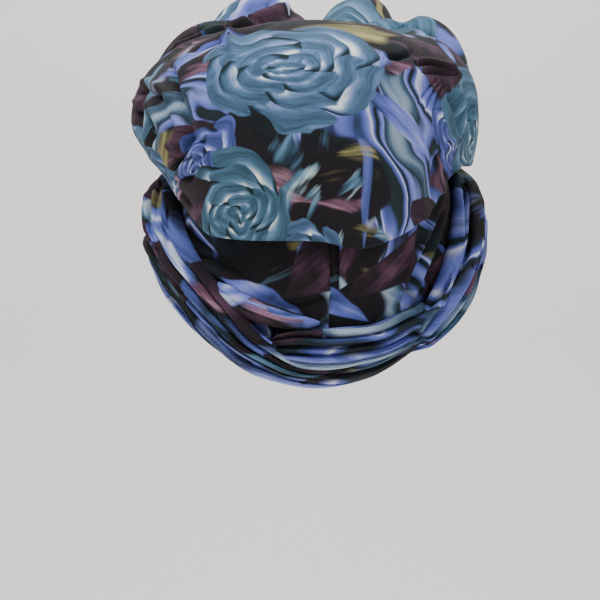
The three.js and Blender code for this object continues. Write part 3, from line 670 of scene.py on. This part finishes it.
def jersey(name, bloom, ruffle, stretch=(1.0, 1.0), paint_from=0.58, lie=1.0, leafy=1.0):
    """Printed viscose jersey: a loose painterly floral, fine ribs and a soft sheen.

    bloom says whether it has blossoms. Curling bands take up more of it the lower ruffle is, and
    loose strokes the lower paint_from is. stretch squeezes the print along and across the cloth,
    lie says how freely the strokes turn and bend, and leafy how many dark leaves there are.
    """
    material = bpy.data.materials.new(name)
    material.use_nodes = True
    g = Graph(material.node_tree)
    raw = g.add("ShaderNodeUVMap", uv_map="cloth").outputs[0]
    pulled = g.vector("MULTIPLY", raw, (*stretch, 1.0))
    uv = g.warped(pulled, g.noise(pulled, 4.0, 2, 0.5)[1], 0.05)
    bend = 0.3 + 0.7 * lie
    paint = g.ramp(g.noise(uv, 2.0, 3, 0.55, 0.5)[0], GROUND)
    for seed, stops, angle, rarer, size in PAINT_STROKES:
        low = paint_from + rarer
        paint = strokes_of_paint(g, paint, uv, seed, low, stops, angle * lie, size, 0.9 * bend)
    paint = ruffles(g, paint, uv, 2.7, ruffle, 0.8 * lie, RUFFLE, 1.3 * bend)
    paint = leaves(g, paint, uv, 1.7, 0.26, (0.37, 0.81), 0.8 * leafy, LEAF)
    paint = leaves(g, paint, uv, 1.9, 0.24, (3.9, 5.2), 0.45, SLIM, 0.27)
    if bloom:
        paint = blossoms(g, paint, uv, 1.5, 0.23, (4.25, 1.5), 0.4, [DUSK, STEEL])
        paint = blossoms(g, paint, uv, 1.0, 0.4, (0.0, 0.12), 0.95, [STEEL, TEAL])
    paint = leaves(g, paint, uv, 1.1, 0.27, (6.13, 2.9), 0.6 * leafy, LEAF)
    knitted(g, material.node_tree.nodes["Principled BSDF"], raw, paint)
    return material


CLOTH = jersey("printed_jersey", True, 0.55)
PANEL_CLOTH = jersey("printed_panel_jersey", False, 0.53, paint_from=0.6)
# the rolls' cloth is a darker copy of the print, with fewer light strokes and bands: partly the print's own
# dark ground, partly painted shade for the shade in the twisted rolls
WRAP_CLOTH_WITH_PAINTED_SHADE = jersey("printed_wrap_jersey_with_painted_shade", False, 0.49, (0.6, 1.4), 0.57, 0.12, 0.9)
LIGHT_WRAP_CLOTH = jersey("printed_light_wrap_jersey", False, 0.43, (0.7, 1.3), 0.55, 0.12, 0.35)
FAN_CLOTH = jersey("printed_fan_jersey", False, 0.37, (0.8, 1.0), 0.53, 0.4, 0.5)


def turned_uv(u, v, angle, shift):
    """Places on the print from places on the cloth in mm, turned by degrees and shifted."""
    a = math.radians(angle)
    u, v = u / UV_UNIT, v / UV_UNIT
    x, y = u * math.cos(a) - v * math.sin(a), u * math.sin(a) + v * math.cos(a)
    return np.stack([x + shift[0], y + shift[1]], axis=-1)


# The crown
def lip_height(azimuth):
    return read(CROWN, 1, azimuth) * CROWN_RISE


def seam_height(azimuth):
    return lip_height(azimuth) + LIP_FALL


CROWN_STROKES = [
    # left: the folds that meet below the top left puff
    ("ridge", [(227, 30), (260, 17), (296, 4)], 4.9, 4.5, (0.05, 0.2)),
    ("crease", [(230, 36), (262, 25), (302, 11)], 4.1, 3, (0.05, 0.2)),
    ("crease", [(224, 22), (250, 11), (280, 2)], 4.1, 3, (0.1, 0.2)),
    ("ridge", [(229, 30), (234, 46), (232, 62), (222, 80), (208, 94)], 4.6, 4.5, (0.05, 0.3)),
    ("crease", [(224, 38), (227, 56), (218, 73), (204, 86)], 4.3, 3.4, (0.1, 0.3)),
    ("ridge", [(227, 31), (212, 31), (196, 42), (180, 47), (166, 56)], 4.3, 4, (0.05, 0.3)),
    ("crease", [(222, 38), (202, 46), (184, 53)], 3.8, 3.5, (0.1, 0.3)),
    ("crease", [(206, 27), (194, 33), (176, 46)], 2.4, 3, (0.2, 0.3)),
    # left: the edge of the flat dark face, and the curled puffs beside it
    ("crease", [(168, 54), (172, 74), (176, 94), (185, 114), (190, 132), (184, 150), (172, 168)],
     6.2, 3.4, (0.15, 0.1)),
    ("ridge", [(172, 108), (181, 122), (181, 136), (170, 148)], 4.1, 4),
    ("ridge", [(137, 86), (150, 81), (164, 90), (173, 103)], 4.1, 4.5),
    ("crease", [(136, 93), (152, 91), (166, 101)], 4.9, 3, (0.1, 0.3)),
    ("ridge", [(132, 101), (148, 104), (160, 116), (163, 134)], 4.3, 5, (0.1, 0.3)),
    ("crease", [(131, 110), (144, 115), (152, 130), (151, 146)], 5.1, 3.4, (0.1, 0.3)),
    ("ridge", [(130, 120), (138, 124), (144, 138), (148, 152)], 3.5, 4, (0.1, 0.2)),
    ("crease", [(133, 130), (138, 142), (150, 160)], 3.5, 2.6, (0.2, 0.1)),
    ("crease", [(184, 136), (196, 141), (210, 144)], 5.1, 3, (0.15, 0.4)),
    ("ridge", [(190, 151), (204, 152), (212, 144), (218, 130)], 3.2, 4, (0.2, 0.3)),
    ("crease", [(206, 162), (194, 172), (184, 186)], 3.2, 3, (0.3, 0.3)),
    ("ridge", [(216, 150), (200, 168), (186, 178)], 2.7, 4, (0.3, 0.2)),
    # left: the pinch where the lip is caught in the band
    ("crease", [(168, 182), (160, 166), (154, 150)], 4.6, 2.6, (0.05, 0.4)),
    ("crease", [(170, 182), (172, 168), (180, 154)], 4.6, 2.6, (0.05, 0.4)),
    ("crease", [(172, 184), (184, 178), (198, 176)], 4.1, 2.6, (0.05, 0.5)),
    ("crease", [(172, 186), (184, 198), (196, 214)], 4.1, 2.6, (0.05, 0.5)),
    # right: the rolled edge in front of the far puff, and its small puckers
    ("lap", [(460, 84), (451, 68), (440, 53), (424, 38), (405, 30), (388, 27)], 6.0, 6, (0.08, 0.2)),
    ("crease", [(461, 78), (446, 52), (428, 34), (408, 26)], 5.5, 2.8, (0.15, 0.2)),
    ("crease", [(386, 54), (395, 58), (406, 57), (414, 50)], 3.4, 3, (0.2, 0.3)),
    ("ridge", [(402, 57), (412, 72), (427, 85)], 3.2, 3.6, (0.2, 0.3)),
    ("ridge", [(410, 60), (430, 62), (452, 73)], 2.4, 2.2, (0.3, 0.1)),
    ("crease", [(412, 64), (430, 66), (452, 75)], 2.6, 1.7, (0.3, 0.1)),
    ("ridge", [(414, 69), (432, 68), (453, 77)], 2.2, 2.0, (0.3, 0.1)),
    ("crease", [(418, 72), (434, 72), (454, 78)], 2.6, 1.7, (0.3, 0.1)),
    ("crease", [(438, 78), (425, 92), (416, 112)], 2.4, 2.0, (0.1, 0.5)),
    ("crease", [(441, 81), (431, 97), (424, 118)], 2.4, 2.0, (0.1, 0.5)),
    ("crease", [(444, 84), (437, 101), (433, 118)], 2.0, 2.0, (0.1, 0.5)),
    ("crease", [(446, 88), (457, 110), (463, 134), (467, 150)], 3.8, 3.0),
    ("ridge", [(453, 84), (464, 106), (469, 130), (471, 148)], 3.2, 4),
    ("crease", [(468, 94), (474, 110), (472, 130)], 3.0, 2.6),
    # right: the soft fold down to the lip, and the deep pocket beside it
    ("ridge", [(424, 140), (417, 176), (420, 208), (428, 224)], 2.2, 7, (0.3, 0.1)),
    ("crease", [(440, 150), (434, 174), (436, 202)], 4.6, 3.2),
    ("ridge", [(442, 156), (448, 143), (460, 138), (472, 146)], 2.4, 4, (0.2, 0.1)),
    ("ridge", [(438, 196), (445, 177), (456, 164), (472, 160)], 4.6, 3, (0.08, 0.08)),
    ("crease", [(446, 190), (455, 178), (468, 171)], 9.0, 4.4, (0.15, 0.1)),
    # soft drape of the smooth back
    ("ridge", [(236, 60), (232, 120), (246, 200)], 1.2, 26, (0.3, 0.3)),
    ("crease", [(404, 110), (396, 160), (404, 224)], 0.9, 18, (0.4, 0.2)),
]
# dips in the far side's top edge: the place across the frame, its width, and how deep in mm
DIPS = [(402, 12, 7.5)]
TIP = 0.02  # mm, the radius at the apex
PRINT_CONE = 0.68  # the print lies as on a cone, which opens out to this share of a full circle


def crown_azimuths():
    """From the left side over the nape and the right side round the front, closest at the sides."""
    side = np.arange(28, 102, 0.46)
    middle = np.linspace(-28, 28, 42)[1:-1]
    front = np.linspace(side[-1], 360 - side[-1], 62)[1:-1]
    azimuth = np.concatenate([-side[::-1], middle, side, front])
    return azimuth[: len(azimuth) // 2 * 2][:, None]


def crown_profile(azimuth):
    """Sections from the seam to the apex: their radius, their height, and the share of the way up."""
    around = girth(azimuth)
    lip, seam = lip_height(azimuth), seam_height(azimuth)
    lip_out = around * read(CROWN, 2, azimuth)
    belly, belly_out = read(CROWN, 3, azimuth) * CROWN_RISE, around * read(CROWN, 4, azimuth)
    crest, crest_out = read(CROWN, 5, azimuth) * CROWN_RISE, around * read(CROWN, 6, azimuth)
    full = read(CROWN, 7, azimuth)
    apex = APEX * CROWN_RISE
    seat = panel_outer(azimuth, seam) + CLEARANCE

    t = np.linspace(0, 1, 5)[None, :]
    under = (seat + (lip_out - LIP_ROUND - seat) * t, seam + (lip - seam) * np.sin(t * math.pi / 2), 0 * t)
    t = np.linspace(0, 1, 5)[None, 1:] * math.pi / 2
    corner = (lip_out - LIP_ROUND + LIP_ROUND * np.sin(t), lip + LIP_ROUND * (1 - np.cos(t)), 0 * t)
    t = np.linspace(0, 1, 41)[None, 1:]
    lower = (
        lip_out + (belly_out - lip_out) * np.sin(t * math.pi / 2),
        lip + LIP_ROUND + (belly - lip - LIP_ROUND) * t,
        0.3 * t,
    )
    t = np.linspace(0, 1, 113)[None, 1:]
    a = t * math.pi / 2
    upper = (
        crest_out + (belly_out - crest_out) * np.maximum(0, np.cos(a)) ** full,
        belly + (crest - belly) * np.sin(a) ** full,
        0.3 + 0.45 * t,
    )
    t = np.linspace(0, 1, 21)[None, 1:]
    top = (crest_out * (1 - t), crest + (apex - crest) * (3 * t**2 - 2 * t**3), 0.75 + 0.25 * t)
    spread = lambda band, i: np.broadcast_to(band[i], (len(azimuth), band[0].shape[1]))
    bands = (under, corner, lower, upper, top)
    return [np.concatenate([spread(band, i) for band in bands], axis=1) for i in range(3)]


def gathered(azimuth, radius, z, share):
    """The sections' points, drawn in at the gathers and swelled out at the puffs."""
    around = girth(azimuth)
    run = np.gradient(np.stack([radius, z], axis=-1), axis=1)
    run /= np.maximum(np.linalg.norm(run, axis=2, keepdims=True), 1e-9)
    depth = np.zeros_like(radius)
    for where, deep, start, end in GATHERS:
        away = np.abs(turn(azimuth, where)) / (GATHER_WIDTH / np.radians(around))
        opened = smooth(share, start, start + 0.25) * (1 - smooth(share, end - 0.3, end))
        depth = np.maximum(depth, deep * np.exp(-(away**1.3)) * opened)
    height = np.zeros_like(radius)
    for where, level, out, span in PUFFS:
        across = turn(azimuth, where) * np.radians(around) / span
        height = np.maximum(height, out * np.exp(-(across**2) - ((share - level) / PUFF_REACH) ** 2))
    push = (height - GATHER_DEPTH * depth) * np.minimum(1, radius / (0.3 * HEAD_WIDTH))
    return at(azimuth, np.maximum(TIP, radius + run[..., 1] * push), z - run[..., 0] * push)


def crumpled(azimuth, points, share):
    """The cloth's own lie: soft swells everywhere, and small tucks over the front."""
    tucked = smooth(np.abs(turn(azimuth, 0)), 92, 130)
    tucked = tucked * smooth(share, 0.02, 0.3) * (1 - smooth(share, 0.6, 0.95))
    beat = azimuth * 11 + 40 * np.sin(np.radians(3 * azimuth)) + 60 * share
    small = np.abs(np.sin(np.radians(beat))) ** 0.7
    soft = 0.7 * ripple(points, 62, 3) + 0.5 * ripple(points, 27, 4) * (0.4 + 0.6 * tucked)
    lift = soft * 0.8 * smooth(share, 0.0, 0.06) + 2.2 * tucked * (small - 0.6)
    return points + normals(points, True) * lift[..., None]


def crown():
    azimuth = crown_azimuths()
    radius, z, share = crown_profile(azimuth)
    share = share[:1]
    points = crumpled(azimuth, gathered(azimuth, radius, z, share), share)
    spots = pixels(points)[..., 0]
    far = smooth(points[..., 1], -5, 30) * smooth(share, 0.3, 0.5)
    for where, width, deep in DIPS:
        points[..., 2] -= deep * np.exp(-(((spots - where) / width) ** 2)) * far
    points = sculpt(points, True, CROWN_STROKES)
    # the middle is drawn together
    middle = points[:, -2:-1].mean(axis=0)
    points[:, -1] = middle + 0.02 * (points[:, -2] - middle)

    length = arc(at(azimuth, np.maximum(TIP, radius), z), 1)
    out = length[:, -1:] - length
    # the print's own seam is at the front
    order = np.argsort(turn(azimuth[:, 0], 0))
    away = turn(azimuth[order], 0)
    cone = PRINT_CONE * np.radians(np.concatenate([away, away[:1] + 360]))
    out = out[[*order, order[0]]]
    uv = turned_uv(out * np.sin(cone), -out * np.cos(cone), 8, (0.28, 0.34))
    piece = shell("crown_cloth", points[order], uv, CLOTH_WALL, True, CLOTH)
    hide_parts("crown_drape")


crown()


# The fitted panels
PANEL_STROKES = [
    # left: the cloth hangs in soft folds from the band, and one thick fold lies on it
    ("ridge", [(172, 186), (190, 216), (216, 240), (242, 252)], 3.0, 8, (0.1, 0.4)),
    ("crease", [(166, 196), (184, 232), (212, 254), (236, 262)], 3.2, 4, (0.1, 0.4)),
    ("ridge", [(182, 267), (205, 265), (236, 281), (264, 302)], 4.6, 6, (0.12, 0.3)),
    ("crease", [(184, 276), (206, 282), (232, 296), (258, 308)], 4.2, 3.4, (0.1, 0.3)),
    ("crease", [(186, 262), (206, 257), (238, 272), (262, 290)], 2.4, 3.4, (0.2, 0.4)),
    ("ridge", [(205, 286), (225, 293), (246, 303)], 2.6, 3.6, (0.2, 0.3)),
    ("ridge", [(331, 289), (316, 292), (300, 292), (284, 298), (270, 307)], 2.0, 5, (0.05, 0.4)),
    ("crease", [(330, 294), (308, 303), (290, 309), (270, 314)], 2.2, 3.4, (0.05, 0.4)),
    # right: folds fan out from the lip's end
    ("ridge", [(446, 190), (425, 236), (402, 280), (394, 310)], 3.4, 4.5, (0.05, 0.2)),
    ("crease", [(447, 192), (430, 238), (410, 280), (400, 312)], 3.4, 3, (0.05, 0.2)),
    ("ridge", [(449, 194), (436, 240), (417, 280), (407, 311)], 3.0, 4, (0.05, 0.2)),
    ("crease", [(451, 196), (443, 240), (426, 280), (415, 309)], 3.4, 3, (0.05, 0.2)),
    ("ridge", [(455, 196), (457, 232), (444, 266), (428, 296)], 4.0, 6, (0.1, 0.2)),
    ("crease", [(468, 165), (473, 200), (474, 238), (466, 264), (448, 290), (428, 310)],
     6.0, 4, (0.05, 0.05)),
    ("crease", [(428, 222), (402, 234), (376, 250)], 1.6, 3, (0.2, 0.4)),
]
# On the rolls: the valleys and ridges of their twisted strands
ROLL_STROKES = [
    ("crease", [(160, 176), (153, 204), (150, 238), (160, 262)], 5.0, 3.2, (0.1, 0.2)),
    ("crease", [(170, 200), (164, 226), (170, 252)], 3.0, 3, (0.3, 0.3)),
    ("ridge", [(146, 186), (144, 214), (147, 240)], 2.0, 3),
    ("crease", [(151, 256), (170, 298), (196, 328), (228, 352)], 3.0, 2.6, (0.1, 0.3)),
    ("crease", [(464, 176), (469, 212), (470, 246), (458, 270), (441, 290), (424, 311)],
     6.0, 3.4, (0.1, 0.1)),
    ("ridge", [(478, 250), (466, 276), (448, 298), (432, 316)], 2.6, 4.5),
    ("crease", [(486, 262), (478, 268), (462, 266)], 2.4, 3, (0.1, 0.4)),
]


SEEN = 84  # degrees on each side of the nape where the panels' sections are close
SECTION_STEP, FAR_STEP = 0.62, 2.6


def panel(name, node, start, end, shift):
    """One half of the fitted cap, from seam to seam and from the rim up inside the crown."""
    middle = [a for a in np.arange(-SEEN, SEEN + 1, SECTION_STEP) if start < a < end]
    rest = [a for a in np.arange(-180, 181, FAR_STEP) if start < a < end and abs(a) >= SEEN + 1.5]
    azimuth = np.array(sorted([start, end, *middle, *rest]))[:, None]
    keep = np.concatenate([[True], np.diff(azimuth[:, 0]) > SECTION_STEP / 2])
    azimuth = odd(azimuth[keep])
    t = np.linspace(0, 1, 97)[None, :]
    low, high = rim(azimuth) + RIM_TURN, seam_height(azimuth) + PANEL_TUCK
    z = low + (high - low) * t
    # the allowance turns in at the seam, beside a low ridge
    to_seam = np.minimum(np.abs(turn(azimuth, start)), np.abs(turn(azimuth, end)))
    to_seam = to_seam * np.radians(girth(azimuth))
    radius = panel_outer(azimuth, z) - 0.9 * np.exp(-((to_seam / 1.3) ** 2))
    radius = radius + 0.35 * np.exp(-(((to_seam - 3.2) / 1.2) ** 2))
    points = at(azimuth, radius, z)
    lift = 0.5 * ripple(points, 48, 7) * smooth(high - z, 0, 14)
    points = points + normals(points, False) * lift[..., None]
    points = sculpt(points, False, PANEL_STROKES)
    u = arc(points, 0)[:, :1] + 0 * z
    u = u - u[np.abs(azimuth[:, 0]).argmin()][0]
    uv = turned_uv(u, z, -14, shift)
    piece = shell(name, points, uv, CLOTH_WALL, False, PANEL_CLOTH)
    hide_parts(node)


panel("panel_left", "base_panel_left", -180, SEAM_AZIMUTH, (1.4, 2.1))
panel("panel_right", "base_panel_right", SEAM_AZIMUTH, 180, (1.19, 2.15))


def back_pleat():
    """The flat folded layer under the lip on the right, whose lower edge slants."""
    start, end, lowest, highest = (BACK_PLEAT[key] for key in ("start", "end", "low", "high"))
    azimuth = np.linspace(start, end, 65)[:, None]
    share = (azimuth - start) / (end - start)
    low = NAPE_DROP * (lowest + (highest - lowest) * share)
    high = np.maximum(low + WALL, lip_height(azimuth) + LIP_FALL / 2)
    z = low + (high - low) * np.linspace(0, 1, 61)[None, :]
    swell = 1.4 * np.sin(np.clip((z - low) / 16, 0, 1) * math.pi / 2)
    points = at(azimuth, panel_outer(azimuth, z) + CLEARANCE + PLEAT_WALL + swell, z)
    u = arc(points, 0)[:, :1] + 0 * z
    uv = turned_uv(u, z, 32, (3.3, 0.6))
    piece = shell("pleat_cloth", points, uv, PLEAT_WALL, False, PANEL_CLOTH)
    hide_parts("back_pleat")


back_pleat()


# The rolls round the rim
EDGE = 0.14  # how full a roll is at its edges
ROLL_ROUND = 2.4
PLEAT_DEPTH = 0.62
ROLL_STEP = 0.72  # degrees between the sections
END_LENGTH = 7  # mm in which a roll thins out at its end
BED_LINES = 12


def pleated(even, azimuth, spot, pleats, twist, lean, seed, closed):
    """The strand that each place is on, and how full the roll is there, from 0 to about 1."""
    wander = 0.16 * ripple(spot, 90, seed) + 0.08 * ripple(spot, 34, seed + 1)
    swing = np.sin(np.radians(azimuth * 2 + 40)) if closed else (azimuth - azimuth[0]) / 120
    phase = pleats * (even + 1) / 2 + twist * swing + wander
    phase = phase + lean * np.sin(2 * math.pi * phase) / (2 * math.pi) * 1.6
    strand = np.floor(phase)
    lobe = np.abs(np.sin(math.pi * phase)) ** 0.5
    rank = 0.5 + 0.5 * np.sin(strand * 2.4 + seed)
    beat = 2.7 * math.pi * (phase + 0.5 * wander) + 0.5 * np.sin(np.radians(9 * azimuth))
    fine = np.abs(np.sin(beat)) ** 0.6
    valley = (PLEAT_DEPTH * (1 - lobe) + 0.13 * rank) * (pleats > 1)
    full = EDGE + (1 - EDGE) * dome(even) * (1 - valley)
    return strand, full * (0.94 + 0.08 * fine)


def dome(even):
    """The round of a roll across its width, from -1 to 1."""
    return (1 - np.abs(even) ** ROLL_ROUND) ** (1 / ROLL_ROUND)


def roll_faces(grid_uv, strand, own, n_sections, n_around, closed):
    """Corners and UVs of the quads along a roll and of the strips that close its ends."""
    sections = np.arange(n_sections if closed else n_sections - 1)
    i, j = (a.ravel() for a in np.meshgrid(sections, np.arange(n_around), indexing="ij"))
    k, m = (i + 1) % n_sections, (j + 1) % n_around
    corners = np.stack([i * n_around + j, k * n_around + j, k * n_around + m, i * n_around + m], axis=1)
    # every strand has a run of the print of its own
    run = own * np.stack([strand[i, j] * 0.83, strand[i, j] * 1.37], axis=-1)[:, None]
    around_face = [grid_uv[i, j], grid_uv[i + 1, j], grid_uv[i + 1, j + 1], grid_uv[i, j + 1]]
    faces = [(corners, np.stack(around_face, axis=1) + run)]
    if not closed:
        for section, flip in ((0, True), (n_sections - 1, False)):
            low = np.arange(0, (n_around - 2) // 2)
            high = n_around - 1 - low
            caps = section * n_around + np.stack([low, low + 1, high - 1, high], axis=1)
            end_uv = np.zeros((len(caps), 4, 2)) + grid_uv[section, 0]
            faces.append((caps[:, ::-1] if flip else caps, end_uv))
    return faces


def roll(name, node, pleats, twist, lean, rows, seed, slope, shift, cloth, own):
    """A twisted, pleated roll of cloth on the panels, closed underneath."""
    closed = rows[0][0] == -180
    first, final = rows[0][0], 180 if closed else rows[-1][0]
    count = int((final - first) / ROLL_STEP)
    azimuth = np.linspace(first, final, count, endpoint=not closed)[:, None]
    value = lambda column, a: read(rows, column, a, closed)
    middle = lambda a: rim(a) + value(1, a) * BAND_WIDTH
    around = girth(azimuth)
    slant = (middle(azimuth + 1) - middle(azimuth - 1)) / (2 * np.radians(around))
    across_x, across_z = -slant / np.hypot(slant, 1), 1 / np.hypot(slant, 1)
    half = value(2, azimuth) * BAND_WIDTH
    thick = value(3, azimuth) * BAND_THICKNESS
    bed = value(4, azimuth) * BAND_THICKNESS + CLEARANCE
    if not closed:
        end = np.minimum(azimuth - first, final - azimuth) * np.radians(around)
        fade = np.sqrt(np.clip(end / END_LENGTH, 0.02, 1))
        thick, half = thick * fade, half * (0.2 + 0.8 * fade)

    def laid(share, height):
        """Points at a share of the half width from the roll's middle, at a height over the panel."""
        a = azimuth + np.degrees(share * half * across_x / around)
        z = middle(azimuth) + share * half * across_z
        return at(a, panel_outer(a, z) + height, z)

    # places across the roll, closer at its edges
    even = np.linspace(-1, 1, 30 * pleats + 31)[None, :]
    even = 0.5 * np.sin(even * math.pi / 2) + 0.5 * even
    spot = at(azimuth, around, middle(azimuth))
    strand, full = pleated(even, azimuth, spot, pleats, twist, lean, seed, closed)
    height = bed + thick * full + 0.35 * ripple(spot, 30, seed + 2) * dome(even)
    top = sculpt(laid(even, height), closed, ROLL_STROKES)
    bottom = laid(np.linspace(1, -1, BED_LINES)[None, 1:-1], bed - CLEARANCE / 2)
    loop = np.concatenate([top, bottom], axis=1)

    # the print runs along the roll, and the bed takes the colour of its edge
    flat = np.zeros(bottom.shape[:2])
    v = np.concatenate([(even + 1) * half, flat + 2 * half], axis=1)
    v = np.concatenate([v, v[:, :1]], axis=1)
    u = np.concatenate([[0], np.cumsum(np.linalg.norm(np.diff(spot[:, 0], axis=0), axis=1))])
    if closed:
        u = np.concatenate([u, [u[-1] + np.linalg.norm(spot[0, 0] - spot[-1, 0])]])
        v = np.concatenate([v, v[:1]], axis=0)
    grid_uv = turned_uv(np.broadcast_to(u[:, None], v.shape), v, slope, shift)
    strand = np.concatenate([strand, flat + strand[:, -1:]], axis=1)
    faces = roll_faces(grid_uv, strand, own, *loop.shape[:2], closed)
    piece = make(name, loop.reshape(-1, 3), faces, cloth)
    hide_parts(node)


# by node: name, seed, the print's angle and shift, cloth, and how far strands part in the print
ROLL_LOOKS = {
    "band_lower_roll": ("lower_roll", 11, 6, (0.7, 4.3), WRAP_CLOTH_WITH_PAINTED_SHADE, 1),
    "band_left_wrap": ("left_wrap", 23, -8, (5.2, 1.1), WRAP_CLOTH_WITH_PAINTED_SHADE, 1),
    "band_right_wrap": ("right_wrap", 37, 9, (4.3, 1.9), LIGHT_WRAP_CLOTH, 1),
    "nape_pleats": ("pleat_fan", 41, -5, (7.3, 3.2), FAN_CLOTH, 0.12),
    "nape_tuck_fold": ("tuck_fold", 53, 4, (8.1, 0.4), WRAP_CLOTH_WITH_PAINTED_SHADE, 1),
}
for node, (name, seed, slope, shift, cloth, own) in ROLL_LOOKS.items():
    roll(name, node, seed=seed, slope=slope, shift=shift, cloth=cloth, own=own, **ROLLS[node])


# The stage, in metres
def stage_material():
    material = bpy.data.materials.new("pale_floor")
    material.use_nodes = True
    surface = material.node_tree.nodes["Principled BSDF"]
    surface.inputs["Base Color"].default_value = (*linear((243, 240, 236)), 1)
    surface.inputs["Roughness"].default_value = 0.9
    return material


def backdrop():
    """A pale floor well below the cap, that curves up into a wall behind it."""
    floor, near, wall, bend, side, top = -0.42, -5, 1.35, 0.35, 14, 2.2
    profile = [(near, floor)]
    for step in range(13):
        a = step / 12 * math.pi / 2
        profile.append((wall - bend + bend * math.sin(a), floor + bend - bend * math.cos(a)))
    profile.append((wall, top))
    points = [(x, y, z) for x in (-side, side) for y, z in profile]
    n = len(profile)
    faces = [(i, i + n, i + n + 1, i + 1) for i in range(n - 1)]
    mesh = bpy.data.meshes.new("floor")
    mesh.from_pydata(points, [], faces)
    mesh.shade_smooth()
    mesh.materials.append(stage_material())
    placed("floor", mesh)


backdrop()


def area_light(name, place, size, power, target=(0, 0, 0.03)):
    data = bpy.data.lights.new(name, "AREA")
    data.size = size
    data.energy = power
    obj = placed(name, data)
    obj.location = place
    obj.rotation_euler = (Vector(target) - Vector(place)).to_track_quat("-Z", "Y").to_euler()


area_light("key", (-0.55, -0.95, 1.5), 0.7, 30)
area_light("fill", (1.2, -0.9, 0.5), 1.2, 7)
area_light("top", (0.1, 0.25, 1.6), 0.9, 16)
area_light("wash", (0, 0.3, 1.7), 1.0, 10.5, (0, 1.35, 0.35))


def studio_world():
    world = bpy.data.worlds.new("studio")
    world.use_nodes = True
    background = world.node_tree.nodes["Background"]
    background.inputs["Color"].default_value = (*linear((226, 228, 232)), 1)
    background.inputs["Strength"].default_value = 0.55
    bpy.context.scene.world = world


studio_world()
